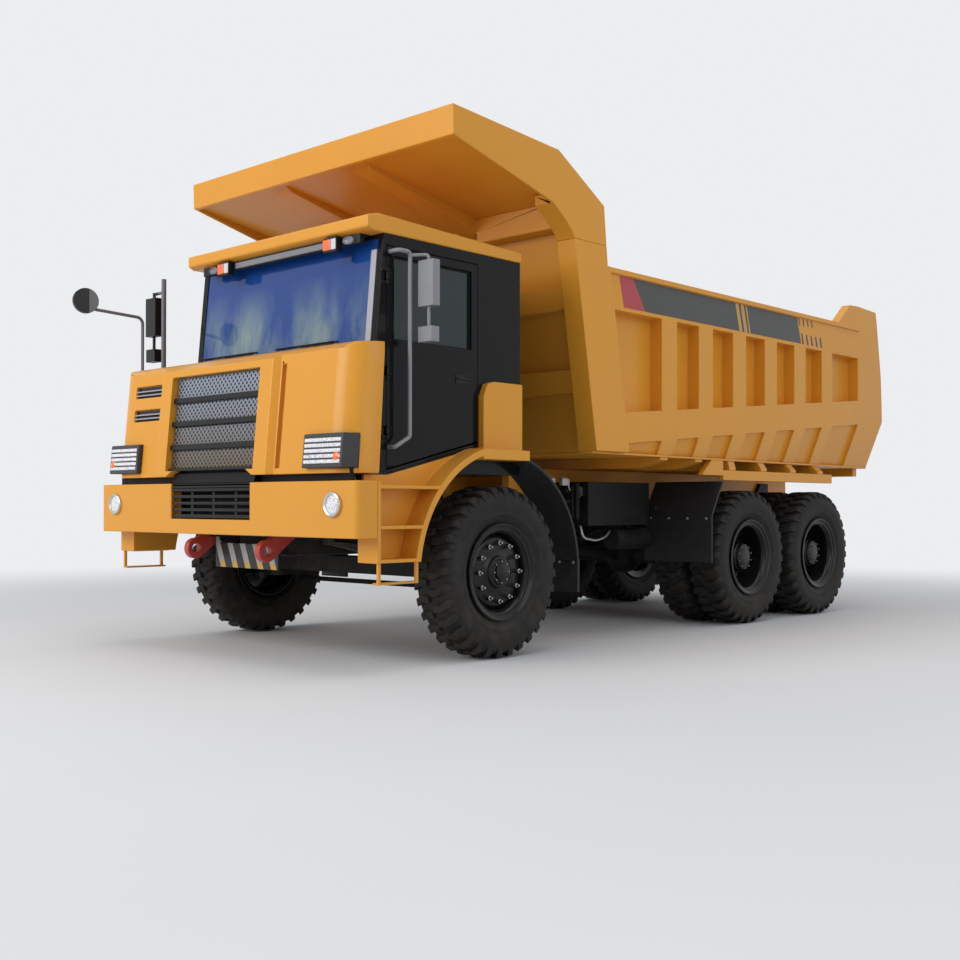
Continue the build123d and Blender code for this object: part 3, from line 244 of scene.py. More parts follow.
low_down = spanned(weathered, axes_of(weathered, spot_on(weathered))["Z"], splash_top, splash_full, 0.75)
on_top = spanned(weathered, upward, 0.3, 1.0, 0.6)
settled = maths(weathered, "ADD", low_down, on_top)
patchy = maths(weathered, "MULTIPLY_ADD", patch, 2.6, -0.75)
lying = maths(weathered, "MULTIPLY", settled, patchy, clamp=True)
lying = maths(weathered, "MULTIPLY", lying, given["Dust"], clamp=True)
mottled = maths(weathered, "MULTIPLY_ADD", broad, 2.0, -1.0)
tint = maths(weathered, "MULTIPLY_ADD", mottled, given["Shade"], 1.0)
shaded = part(weathered, "ShaderNodeHueSaturation", Color=given["Colour"], Value=tint)
dust_brown = (0.33, 0.28, 0.22, 1)
dusted = blended(weathered, lying, shaded.outputs["Color"], dust_brown)
uneven = maths(weathered, "MULTIPLY_ADD", patch, 0.16, -0.08)
rougher = maths(weathered, "MULTIPLY_ADD", lying, 0.5, uneven)
rough = maths(weathered, "ADD", given["Roughness"], rougher, clamp=True)
for value, socket in zip((dusted, rough, grain), result):
    weathered.links.new(value, socket)


def bumped(tree, height, strength, distance):
    """Raises the surface by a height."""
    new = part(tree, "ShaderNodeBump", Strength=strength, Distance=distance, Height=height)
    tree.links.new(new.outputs["Normal"], tree.nodes["Principled BSDF"].inputs["Normal"])


def shows(material, **sockets):
    """Gives the material's surface plain values or nodes' outputs."""
    tree = material.node_tree
    for key, value in sockets.items():
        wired(tree, value, tree.nodes["Principled BSDF"].inputs[key.replace("_", " ")])


def finish(name, colour, roughness, dust, shade=0.06, grain_size=220.0, grain_depth=0.0004, **face):
    """A surface of one colour, shaded, dusty and grained; face gives its shader's other plain values."""
    made = bpy.data.materials.new(name)
    made.use_nodes = True
    tree = made.node_tree
    worn = tree.nodes.new("ShaderNodeGroup")
    worn.node_tree = weathered
    for value, socket in zip(((*colour, 1), dust, shade, roughness, grain_size), worn.inputs):
        socket.default_value = value
    bumped(tree, worn.outputs["Grain"], 0.6, grain_depth)
    shows(made, Base_Color=worn.outputs["Colour"], Roughness=worn.outputs["Roughness"], **face)
    return made


def painted(piece, material):
    """The piece wears this material all over."""
    piece.data.materials.clear()
    piece.data.materials.append(material)
    return piece


def belong(piece, body, slot, *stands_for):
    """The piece moves with a body and may stand for solids; the slot, a finish's name, is not used."""
    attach(piece, body)
    if stands_for:
        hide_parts(*stands_for)
    return piece


finish_names = {row["node"]: row["material_slot"] for row in frame["record"]["subparts"]}


crease = 0.6


def soften(piece, width, segments=2, angle=crease):
    """Rounds the piece's sharp edges."""
    hold(piece)
    rounding = piece.modifiers.new("rounding", "BEVEL")
    rounding.width = width
    rounding.segments = segments
    rounding.limit_method = "ANGLE"
    rounding.angle_limit = angle
    rounding.use_clamp_overlap = False
    bpy.ops.object.modifier_apply(modifier="rounding")
    bpy.ops.object.shade_smooth_by_angle(angle=crease)
    evened = piece.modifiers.new("evened", "WEIGHTED_NORMAL")
    evened.keep_sharp = True
    bpy.ops.object.modifier_apply(modifier="evened")
    return piece


def dressed(name, material, width, segments=2, flats=True):
    """A copy of a solid with its flat faces made whole and its edges rounded, which stands for it."""
    source = nodes[name]
    piece = source.copy()
    piece.data = source.data.copy()
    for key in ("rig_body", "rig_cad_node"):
        if key in piece:
            del piece[key]
    bpy.context.scene.collection.objects.link(piece)
    piece.parent = None
    piece.name = "dressed_" + name
    hold(piece)
    bpy.ops.object.mode_set(mode="EDIT")
    bpy.ops.mesh.select_all(action="SELECT")
    same_place, nearly_flat = 0.00002, 0.01
    bpy.ops.mesh.remove_doubles(threshold=same_place)
    if flats:
        bpy.ops.mesh.dissolve_limited(angle_limit=nearly_flat)
    shut()
    soften(piece, width, segments)
    painted(piece, material)
    return belong(piece, source["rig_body"], finish_names[name], name)


chassis_grey = finish(
    "chassis_grey", (0.007, 0.0075, 0.009), 0.46, dust=0.09, shade=0.2, Specular_IOR_Level=0.15,
)
cast_grey = finish("cast_grey", (0.013, 0.013, 0.014), 0.62, dust=0.18, shade=0.25, grain_size=90.0,
                   grain_depth=0.0015, Specular_IOR_Level=0.2)
dressed("frame_rails", chassis_grey, 0.006)
dressed("frame_cross_members", chassis_grey, 0.005)
dressed("engine_block", cast_grey, 0.02, 3)
dressed("radiator", chassis_grey, 0.005)
dressed("front_axle", cast_grey, 0.008)
painted(nodes["rear_axles"], cast_grey)
painted(nodes["driveline"], cast_grey)
dressed("left_knuckle", cast_grey, 0.004)
dressed("right_knuckle", cast_grey, 0.004)
painted(nodes["tie_rod"], chassis_grey)

# The skid plate, bolted under the rails' front ends: steel with slanting black and silver stripes painted
# on it, yellow at their feet.

hazard_stripes = finish("hazard_stripes", (0.02, 0.02, 0.02), 0.35, dust=0.25)
striping = hazard_stripes.node_tree
stripes_across, stripes_up, silver_share, yellow_below = 5.9, 2.4, 0.42, 0.752
across_plate = axes_of(striping, spot_on(striping))
slant = maths(striping, "ADD", maths(striping, "MULTIPLY_ADD", across_plate["Y"], stripes_across, 0.35),
              maths(striping, "MULTIPLY_ADD", across_plate["Z"], stripes_up, 0.0))
silver = maths(striping, "LESS_THAN", maths(striping, "FRACT", slant), silver_share)
feet = maths(striping, "LESS_THAN", across_plate["Z"], yellow_below)
foot_colour = blended(striping, feet, (0.33, 0.33, 0.33, 1), (0.5, 0.31, 0.06, 1))
shows(hazard_stripes, Base_Color=blended(striping, silver, (0.01, 0.01, 0.011, 1), foot_colour))
dressed("skid_plate", hazard_stripes, 0.003)

# -----------------------------------------------------------------------------
# The springs: packs of flat steel leaves laid on one another, clamped to the axles by their middle and
# resting in brackets on the rails at both ends. The steel is bare and dark.

spring_steel = finish("spring_steel", (0.03, 0.03, 0.032), 0.55, dust=0.4, shade=0.3)
leaf_tree = spring_steel.node_tree
leaf_lines = texture(leaf_tree, "Wave", Scale=12.0, bands_direction="Z")
bumped(leaf_tree, leaf_lines["Fac"], 0.9, 0.004)
dressed("suspension", spring_steel, 0.003)

# -----------------------------------------------------------------------------
# The body: bumper, fenders, deck, roof, hood and the whole bed, welded from steel plate and pressed sheet.
# All of it is sprayed in one orange-yellow paint and baked, with a thin clear coat on top.

truck_yellow = finish(
    "truck_yellow", (0.72, 0.315, 0.03), 0.36, dust=0.08, shade=0.035, grain_size=160.0, grain_depth=0.0002,
    Specular_IOR_Level=0.3, Coat_Weight=0.1, Coat_Roughness=0.12,
)
for name, width in (
    ("bumper", 0.008), ("left_fender", 0.005), ("right_fender", 0.005), ("deck", 0.008), ("cab_roof", 0.012),
    ("bed_floor", 0.004), ("bed_beams", 0.005), ("bed_cross_members", 0.004), ("wheel_covers", 0.006),
    ("bed_sides", 0.006), ("headboard", 0.006), ("canopy", 0.008), ("tailgate", 0.006),
):
    dressed(name, truck_yellow, width)
dressed("hood", truck_yellow, 0.008, flats=False)

# -----------------------------------------------------------------------------
# The front opening: a moulded black shelf below the grille, a rubber strip that shuts the gap between hood
# and bumper, and a blind panel with five glossy slats in the bumper's opening, screwed to its brackets.

bpy.context.tool_settings.mesh_select_mode = (False, False, True)


def settle(piece):
    """Brings the piece's place, turn and size into its mesh."""
    hold(piece)
    bpy.ops.object.transform_apply(location=True, rotation=True, scale=True)
    return piece


def point_at(name, place):
    """A piece of one lone point, ready to be drawn out."""
    bare()
    bpy.ops.mesh.primitive_plane_add(size=0.01, location=place)
    piece = bpy.context.object
    piece.name = name
    bpy.ops.object.mode_set(mode="EDIT")
    bpy.ops.mesh.select_all(action="SELECT")
    bpy.ops.mesh.merge(type="CENTER")
    return piece


def draw_on(corners, start):
    """Draws a line on from the lone point through the corners."""
    here = Vector(start)
    for corner in corners:
        step = Vector(corner) - here
        bpy.ops.mesh.extrude_vertices_move(TRANSFORM_OT_translate={"value": tuple(step)})
        here = Vector(corner)


def turned(name, outline, steps, closed=True):
    """A ring or disc turned about an axle along Y at the origin, from (radius, offset) corners."""
    bpy.context.tool_settings.mesh_select_mode = (True, False, False)
    start = (0, outline[0][1], outline[0][0])
    piece = point_at(name, start)
    corners = [(0, offset, radius) for radius, offset in outline[1:]]
    draw_on(corners, start)
    bpy.ops.mesh.select_all(action="SELECT")
    if closed:
        bpy.ops.mesh.edge_face_add()
        bpy.ops.mesh.delete(type="ONLY_FACE")
        bpy.ops.mesh.select_all(action="SELECT")
    bpy.ops.mesh.spin(steps=steps, angle=2 * math.pi, center=(0, 0, 0), axis=(0, 1, 0))
    bpy.ops.mesh.select_all(action="SELECT")
    bpy.ops.mesh.remove_doubles(threshold=0.0002)
    bpy.ops.mesh.normals_make_consistent(inside=False)
    bpy.context.tool_settings.mesh_select_mode = (False, False, True)
    settle(piece)
    bpy.ops.object.shade_smooth_by_angle(angle=crease)
    return piece


def block(name, low, high):
    """A block between two corners, ready to be shaped."""
    bare()
    size = [b - a for a, b in zip(low, high)]
    middle = [(a + b) / 2 for a, b in zip(low, high)]
    bpy.ops.mesh.primitive_cube_add(size=1, location=middle, scale=size)
    piece = bpy.context.object
    piece.name = name
    return settle(piece)


def pick(piece, *ways):
    """Starts editing the piece with the faces selected that look one of the ways, such as "+x" or "-z"."""
    hold(piece)
    for corner in piece.data.vertices:
        corner.select = False
    for edge in piece.data.edges:
        edge.select = False
    squarely = 0.9
    for face in piece.data.polygons:
        looks = [face.normal["xyz".index(way[1])] * (1 if way[0] == "+" else -1) for way in ways]
        face.select = max(looks) > squarely
    bpy.ops.object.mode_set(mode="EDIT")


def pull(step):
    """Draws the selected faces out by a step."""
    bpy.ops.mesh.extrude_region_move(TRANSFORM_OT_translate={"value": step})


def inset(piece, way, thickness, depth=0, step=None):
    """Draws a smaller outline in the face that looks one way, and moves it out or in, or by a step."""
    pick(piece, way)
    bpy.ops.mesh.inset(thickness=thickness, depth=depth)
    if step:
        pull(step)
    shut()
    return piece


def again(piece, *moves):
    """Copies of the piece at each of the moves, each with its own mesh."""
    copies = []
    for move in moves:
        other = piece.copy()
        other.data = piece.data.copy()
        other.data.transform(move)
        bpy.context.scene.collection.objects.link(other)
        copies.append(other)
    return copies


def joined(name, pieces):
    """The pieces as one."""
    hold(*pieces)
    if len(pieces) > 1:
        bpy.ops.object.join()
    whole = bpy.context.object
    whole.name = name
    whole.data.name = name
    return whole


def repeated(name, piece, *steps):
    """The piece and its copies at each of the steps, as one."""
    return joined(name, [piece, *again(piece, *[Matrix.Translation(step) for step in steps])])


def fitted(name, pieces, material, body, slot, *stands_for):
    """The pieces as one, in this material, on a body."""
    return belong(painted(joined(name, pieces), material), body, slot, *stands_for)


strip_rubber = finish("strip_rubber", (0.006, 0.006, 0.007), 0.5, dust=0.03, grain_size=300.0,
                      Specular_IOR_Level=0.15)
slat_black = finish("slat_black", (0.006, 0.006, 0.007), 0.22, dust=0.02, Specular_IOR_Level=0.25,
                    Coat_Weight=0.05)
chassis = nodes["bumper"]["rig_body"]
hood_strip = soften(block("hood_strip", (3.862, -1.545, 1.345), (3.904, 1.545, 1.525)), 0.012)
blind = soften(block("blind_panel", (3.855, -0.66, 1.04), (3.868, 0.52, 1.385)), 0.004)
shelf = block("front_shelf", (3.88, -0.64, 1.372), (3.985, 0.5, 1.388))
soften(inset(shelf, "+z", 0.012, step=(-0.022, 0, 0.085)), 0.008)
fitted("front_seal", [hood_strip, blind, shelf], strip_rubber, chassis, "black_rubber")
slat = block("slat", (3.935, -0.606, 1.118), (3.975, 0.466, 1.13))
pick(slat, "+x")
pull((0.014, 0, 0.01))
bpy.ops.transform.resize(value=(1, 1, 0.5))
shut()
soften(slat, 0.003)
slat_pitch = 0.049
repeated("low_slats", slat, *[(0, 0, slat_pitch * i) for i in range(1, 5)])
belong(painted(slat, slat_black), chassis, "black_plastic")

# -----------------------------------------------------------------------------
# The grille's punched panels: sheet steel with staggered holes, four of them between the dark bars, leaning
# back with the hood's face; and the slatted air inlets pressed in the hood at the right.

punched_panel = finish("punched_panel", (0.1, 0.1, 0.105), 0.3, dust=0.05)
punch = punched_panel.node_tree
punch_axes = axes_of(punch, spot_on(punch))
hole_pitch = 0.052
across_wave, up_wave = [
    maths(punch, "SINE", maths(punch, "MULTIPLY_ADD", punch_axes[axis], 2 * math.pi / hole_pitch, 0.3))
    for axis in ("Y", "Z")
]
hole_edge, web_edge, grille_foot, grille_top = 0.3, 0.14, 1.5, 2.3
web = spanned(punch, maths(punch, "MULTIPLY", across_wave, up_wave), hole_edge, web_edge)
# The webs carry a painted reflection: warm brown at the grille's foot, turning pale blue towards its top.
painted_reflection_rise = spanned(punch, punch_axes["Z"], grille_foot, grille_top)
web_with_painted_reflection = blended(punch, painted_reflection_rise, (0.16, 0.12, 0.075, 1), (0.3, 0.36, 0.46, 1))
shows(punched_panel, Base_Color=blended(punch, web, (0.006, 0.006, 0.007, 1), web_with_painted_reflection),
      Metallic=maths(punch, "MULTIPLY_ADD", web, 0.5, 0.0))
bumped(punch, web, 1.0, 0.004)


def leaning(foot, angle):
    """Leans a piece back about a level line through its foot."""
    return Matrix.Translation(foot) @ Matrix.Rotation(angle, 4, "Y") @ Matrix.Translation(-foot)


hood_lean = leaning(Vector((3.9725, 0, 1.442)), -0.0927)
panels = []
for i, (low, high) in enumerate(((1.511, 1.664), (1.705, 1.859), (1.9, 2.054), (2.094, 2.268))):
    panel = block("grille_panel_%d" % i, (3.9595, -0.668, low), (3.9635, 0.528, high))
    inset(panel, "+x", 0.012, 0.003).data.transform(hood_lean)
    panels.append(panel)
fitted("grille_panels", panels, punched_panel, chassis, "grille_mesh")

inlet_slats = []
inlet_grey = finish("inlet_grey", (0.3, 0.3, 0.34), 0.35, dust=0.05)
inlet_backs = []
for low, high in ((1.928, 2.028), (2.132, 2.232)):
    back = block("inlet_back", (3.943, -1.302, low + 0.002), (3.948, -0.882, high - 0.002))
    inset(back, "+x", 0.01, -0.002).data.transform(hood_lean)
    inlet_backs.append(back)
    for i in (1, 2):
        middle = low + (high - low) * i / 3
        fin = block("inlet_slat", (3.948, -1.3, middle - 0.008), (3.964, -0.884, middle + 0.002))
        pick(fin, "+x")
        pull((0.006, 0, -0.006))
        shut()
        soften(fin, 0.002, 1).data.transform(hood_lean)
        inlet_slats.append(fin)
fitted("inlet_backs", inlet_backs, slat_black, chassis, "black_plastic")
fitted("inlet_slats", inlet_slats, inlet_grey, chassis, "lamp_housing")

# -----------------------------------------------------------------------------
# The headlamps: dark plastic housings with five ribbed bright rows behind a clear cover and an orange
# turning lamp low at the outer end; and the round clear lamps in the bumper, each with a bright ring.

lens_white = finish("lens_white", (0.72, 0.74, 0.76), 0.12, dust=0.04, Coat_Weight=0.8, Coat_Roughness=0.03)
ribbed = lens_white.node_tree
ribs = texture(ribbed, "Voronoi", Scale=70.0)["Distance"]
bumped(ribbed, ribs, 0.7, 0.003)
shows(lens_white, Base_Color=blended(ribbed, ribs, (0.95, 0.96, 1.0, 1), (0.3, 0.31, 0.33, 1)),
      Emission_Color=(0.9, 0.95, 1.0, 1), Emission_Strength=0.12)
lens_orange = finish("lens_orange", (0.85, 0.13, 0.02), 0.2, dust=0.04, Coat_Weight=0.5,
                     Emission_Color=(0.9, 0.15, 0.03, 1), Emission_Strength=0.12)
to_front = Matrix.Rotation(-math.pi / 2, 4, "Z")


def both_sides(piece):
    """The piece and its mirror image on the truck's other side, as one."""
    whole = joined(piece.name, [piece, *again(piece, Matrix.Diagonal((1, -1, 1, 1)))])
    hold(whole)
    bpy.ops.object.mode_set(mode="EDIT")
    bpy.ops.mesh.select_all(action="SELECT")
    bpy.ops.mesh.normals_make_consistent(inside=False)
    shut()
    return whole


def placed(name, pattern, *moves):
    """The pattern set at each of the moves, as one; the pattern itself is taken away."""
    copies = again(pattern, *moves)
    bpy.data.objects.remove(pattern)
    return joined(name, copies)


row = block("lamp_row", (4.015, 1.138, 1.508), (4.0215, 1.54, 1.534))
inset(row, "+x", 0.006, 0.004).data.transform(hood_lean)
row_pitch = 0.0392
row_step = hood_lean.to_3x3() @ Vector((0, 0, row_pitch))
lamp_rows = both_sides(repeated("lamp_rows", row, *[row_step * i for i in range(1, 5)]))
belong(painted(lamp_rows, lens_white), chassis, "lamp_housing")
button = turned(
    "turn_lamp",
    [(0.0, 0.014), (0.014, 0.013), (0.026, 0.009), (0.034, 0.003), (0.036, -0.006), (0.0, -0.006)],
    24, closed=False,
)
turn_places = [hood_lean @ Matrix.Translation((4.019, way * 1.5, 1.556)) @ to_front for way in (1, -1)]
belong(painted(placed("turn_lamps", button, *turn_places), lens_orange), chassis, "lamp_housing")
bright_ring = finish("bright_ring", (0.62, 0.62, 0.64), 0.18, dust=0.05, Metallic=1.0)
fog_places = [Matrix.Translation((4.0085, way * 1.463, 1.217)) @ to_front for way in (1, -1)]
ring = turned(
    "fog_ring",
    [(0.066, 0.004), (0.07, 0.015), (0.08, 0.018), (0.088, 0.013), (0.091, 0.002), (0.091, -0.008),
     (0.066, -0.008)],
    40,
)
belong(painted(placed("fog_rings", ring, *fog_places), bright_ring), chassis, "lamp_housing")
glass_front = turned(
    "fog_front",
    [(0.0, 0.012), (0.024, 0.011), (0.05, 0.008), (0.0665, 0.004), (0.0665, -0.006), (0.0, -0.006)],
    40, closed=False,
)
belong(painted(placed("fog_fronts", glass_front, *fog_places), lens_white), chassis, "lamp_housing")

# -----------------------------------------------------------------------------
# The cab's walls, pillars and door: pressed steel sheet, welded and sprayed in gloss black. The tanks hung
# on the rails below it are painted like the frame.

gloss_black = finish(
    "gloss_black", (0.007, 0.007, 0.0075), 0.16, dust=0.01, shade=0.3, grain_depth=0.0001,
    Specular_IOR_Level=0.14, Coat_Weight=0.05, Coat_Roughness=0.04,
)
dressed("cab_shell", gloss_black, 0.004)
dressed("door", gloss_black, 0.004)
dressed("fuel_tank", chassis_grey, 0.006)
dressed("left_tanks", chassis_grey, 0.006)

# -----------------------------------------------------------------------------
# The windows: laminated glass held in rubber seals. The cab's panes carry a painted sky reflection, deep
# blue, paler and streaked towards the foot, and the door's pane is darker.

window_glass = finish(
    "window_glass", (0.1, 0.22, 0.5), 0.03, dust=0.0, shade=0.05, grain_depth=0.00002,
    Transmission_Weight=0.45, IOR=1.45,
)
sky = window_glass.node_tree
stretched = part(sky, "ShaderNodeMapping", Vector=spot_on(sky), Scale=(1.0, 2.0, 0.8))
painted_clouds = texture(sky, "Noise", Vector=stretched.outputs["Vector"], Scale=1.6, Detail=4.0,
                 Roughness=0.55)["Fac"]
# Painted reflection: the pane pales towards its foot, with streaks of painted cloud.
pane_low, pane_middle = 2.45, 3.0
painted_sky_low_part = spanned(sky, axes_of(sky, spot_on(sky))["Z"], pane_middle, pane_low)
painted_cloud_streaks = maths(sky, "MULTIPLY_ADD", painted_clouds, 4.0, -1.55)
pale = maths(sky, "MULTIPLY", painted_sky_low_part, painted_cloud_streaks, clamp=True)
shows(window_glass, Base_Color=blended(sky, pale, (0.018, 0.09, 0.4, 1), (0.34, 0.47, 0.48, 1)))
side_glass = finish(
    "side_glass", (0.016, 0.036, 0.04), 0.04, dust=0.0, shade=0.4, grain_depth=0.00002,
    Transmission_Weight=0.5, IOR=1.45,
)
painted(nodes["cab_glass"], window_glass)
painted(nodes["door_glass"], side_glass)

# -----------------------------------------------------------------------------
# The smaller pieces of the front and sides: moulded black dashboard and lamp bar, grille bars, the light
# mirror posts with their housings, rubber guards and flaps on their brackets, and the red towing eyes.

moulded_black = finish("moulded_black", (0.01, 0.01, 0.011), 0.42, dust=0.06, shade=0.2, grain_size=500.0,
                       Specular_IOR_Level=0.25)
for name in ("dashboard", "roof_lamps"):
    dressed(name, moulded_black, 0.003)
dressed("lower_grille", slat_black, 0.003)
post_and_housing = finish("post_and_housing", (0.2, 0.2, 0.21), 0.4, dust=0.05, Specular_IOR_Level=0.3)
posting = post_and_housing.node_tree
post_axes = axes_of(posting, spot_on(posting))
post_edge, arm_end = -1.636, 4.292
outboard = maths(posting, "LESS_THAN", post_axes["Y"], post_edge)
housed = maths(posting, "MAXIMUM", outboard, maths(posting, "GREATER_THAN", post_axes["X"], arm_end))
post_grey, housing_black = (0.15, 0.15, 0.16, 1), (0.01, 0.01, 0.011, 1)
shows(post_and_housing, Base_Color=blended(posting, housed, post_grey, housing_black))
painted(nodes["right_mirrors"], post_and_housing)
mirror_grey = finish("mirror_grey", (0.23, 0.235, 0.25), 0.4, dust=0.05, shade=0.1, grain_size=400.0)
painted(nodes["door_mirrors"], mirror_grey)
lamp_grey = finish("lamp_grey", (0.045, 0.045, 0.05), 0.35, dust=0.05, Specular_IOR_Level=0.3)
dressed("front_lamps", lamp_grey, 0.008)
grille_black = finish("grille_black", (0.008, 0.008, 0.009), 0.3, dust=0.03, Specular_IOR_Level=0.25)
dressed("upper_grille", grille_black, 0.002)
guard_rubber = finish(
    "guard_rubber", (0.013, 0.014, 0.018), 0.55, dust=0.1, shade=0.2, grain_size=120.0, grain_depth=0.001,
    Specular_IOR_Level=0.3,
)
dressed("front_guards", guard_rubber, 0.004)
dressed("rear_guards", guard_rubber, 0.004)
hook_red = finish("hook_red", (0.45, 0.03, 0.022), 0.36, dust=0.2, Coat_Weight=0.2)
dressed("tow_hooks", hook_red, 0.008, 3)

# -----------------------------------------------------------------------------
# The cab's front: a pale strip along the left pillar, which is a painted reflection on it, two marker lamps
# with orange and clear halves on the lamp bar, its pale front plate and round spot lamps, and two wipers
# parked at the windscreen's foot.

cab_lean = leaning(Vector((3.6325, 0, 2.4)), -0.093)
cab_body = nodes["cab_shell"]["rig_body"]
# A pale lilac strip raised on the left pillar: a painted reflection on the gloss black.
pillar_reflection_lilac = finish("pillar_reflection_lilac", (0.36, 0.36, 0.42), 0.4, dust=0.03)
pillar_reflection_strip = block("pillar_reflection_strip", (3.6225, 1.376, 2.412), (3.634, 1.436, 3.105))
inset(pillar_reflection_strip, "+x", 0.006, 0.002)
soften(pillar_reflection_strip, 0.002, 1).data.transform(cab_lean)
belong(painted(pillar_reflection_strip, pillar_reflection_lilac), cab_body, "lamp_housing")

bar_grey = finish("bar_grey", (0.2, 0.2, 0.22), 0.3, dust=0.03)
bar_plate = block("bar_plate", (3.666, -0.18, 3.156), (3.671, 0.985, 3.2))
inset(bar_plate, "+x", 0.006, 0.001)
belong(painted(bar_plate, bar_grey), cab_body, "lamp_housing")
amber = block("marker_orange", (3.7, -0.352, 3.12), (3.729, -0.27, 3.2))
soften(inset(amber, "+x", 0.01, 0.003), 0.003, 2)
to_left_marker = (0, 1.36, 0)
belong(painted(repeated("marker_orange", amber, to_left_marker), lens_orange), cab_body, "lamp_housing")
clear = block("marker_clear", (3.7, -0.264, 3.12), (3.729, -0.208, 3.2))
soften(clear, 0.004, 2)
marker_white = finish("marker_white", (0.62, 0.62, 0.66), 0.2, dust=0.04, Coat_Weight=0.4)
belong(painted(repeated("marker_clear", clear, to_left_marker), marker_white), cab_body, "lamp_housing")
spot_lamp = turned(
    "spot_lamp",
    [(0.0, 0.004), (0.026, 0.006), (0.036, 0.01), (0.04, 0.018), (0.046, 0.018), (0.048, 0.0),
     (0.04, -0.01), (0.0, -0.01)],
    28, closed=False,
)
oval = Matrix.Diagonal((1.25, 1, 0.62, 1))
spot_places = [Matrix.Translation((3.67, across, 3.176)) @ to_front @ oval for across in (1.245, -0.47)]
belong(painted(placed("spot_lamps", spot_lamp, *spot_places), bar_grey), cab_body, "lamp_housing")

blade = block("wiper_blade", (3.628, 0.3, 2.446), (3.64, 1.06, 2.456))
pick(blade, "+x")
pull((0.006, 0, 0.0))
bpy.ops.transform.resize(value=(1, 0.9, 0.5))
shut()
arm = block("wiper_arm", (3.633, 0.64, 2.428), (3.643, 1.0, 2.44))
pick(arm, "-y")
pull((0, -0.03, 0.02))
shut()
for piece in (blade, arm):
    soften(piece, 0.002, 1).data.transform(cab_lean)
to_right_wiper = (0, -1.0, 0)
wipers = repeated("wipers", joined("wiper", [blade, arm]), to_right_wiper)
belong(painted(wipers, moulded_black), cab_body, "black_plastic")

# -----------------------------------------------------------------------------
# The faces of the far mirrors: two silvered panes glued in the rear of the housings on the post beside
# the deck, one tall and one low and wide.

silvered = finish("silvered_glass", (0.75, 0.77, 0.8), 0.03, dust=0.03, shade=0.02, grain_depth=0.00002,
                  Metallic=1.0)


def mirror_faces(name, holder, *places):
    """Silvered glass in the rear of a pair of housings, each between two corners."""
    faces = [inset(block(name, low, high), "-x", 0.006, -0.001) for low, high in places]
    fitted(name, faces, silvered, nodes[holder]["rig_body"], "bright_steel")


mirror_faces("far_mirror_faces", "right_mirrors", ((3.4295, -1.788, 2.772), (3.433, -1.652, 3.098)),
             ((3.4295, -1.788, 2.538), (3.433, -1.652, 2.628)))

# -----------------------------------------------------------------------------
# The bed's side bands: stuck-on vinyl in grey, with a red block ahead of it and slanting yellow and grey
# strokes, in the same places on both sides. No words are set on it.

bed_body = nodes["bed_sides"]["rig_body"]
vinyl_grey = finish("vinyl_grey", (0.052, 0.053, 0.05), 0.4, dust=0.06, grain_depth=0.0001)
vinyl_red = finish("vinyl_red", (0.42, 0.05, 0.06), 0.4, dust=0.06, grain_depth=0.0001)
vinyl_yellow = finish("vinyl_yellow", (0.55, 0.3, 0.07), 0.4, dust=0.06, grain_depth=0.0001)


def stroke(name, top, foot, out=0.0012, low=2.975, high=3.249):
    """A slanting piece of the band on the left rail, between two places at its top and two at its foot."""
    rail_face = 1.684
    piece = block(name, (0, rail_face - 0.0005, low), (1, rail_face + out, high))
    for corner in piece.data.vertices:
        ends = top if corner.co.z > (low + high) / 2 else foot
        corner.co.x = ends[0] if corner.co.x < 0.5 else ends[1]
    return piece


def banded(name, pieces, material, slot):
    """The pieces and their mirror images on the right rail, as one."""
    belong(painted(both_sides(joined(name, pieces)), material), bed_body, slot)


banded("band_grey", [
    stroke("band", (-2.3115, 0.7035), (-2.4015, 0.5135)),
    *[stroke("fading", (-2.36 - 0.095 * i, -2.335 - 0.095 * i), (-2.384 - 0.095 * i, -2.359 - 0.095 * i),
             low=3.175) for i in range(4)],
    *[stroke("fading", (-2.432 - 0.105 * i, -2.4 - 0.105 * i), (-2.47 - 0.105 * i, -2.43 - 0.105 * i),
             high=3.085) for i in range(5)],
], vinyl_grey, "stripe_paint")
banded("band_red", [stroke("red_block", (0.7035, 0.9105), (0.5135, 0.8425))], vinyl_red, "red_paint")
stroke_slant = 0.082
banded("band_yellow", [
    stroke("yellow_stroke", (rear, front), (rear - stroke_slant, front - stroke_slant), 0.0024)
    for rear, front in ((-1.0965, -1.0365), (-1.1955, -1.1355), (-1.2555, -1.2295))
], vinyl_yellow, "yellow_paint")

# -----------------------------------------------------------------------------
# The seats: foam cushions sewn in woven cloth on a moulded shell and a suspension pedestal bolted to the
# floor. The covers are blown up by a cloth simulation, then their sewn channels are drawn in.

seat_cloth = finish("seat_cloth", (0.035, 0.036, 0.042), 0.85, dust=0.0, grain_size=900.0, grain_depth=0.0008,
                    Specular_IOR_Level=0.2)
weave = seat_cloth.node_tree
bumped(weave, texture(weave, "Wave", Scale=90.0, Distortion=1.5)["Fac"], 0.6, 0.001)


def lean_back(piece, above, by):
    """Moves the piece's corners above a height back."""
    for corner in piece.data.vertices:
        if corner.co.z > above:
            corner.co.x -= by


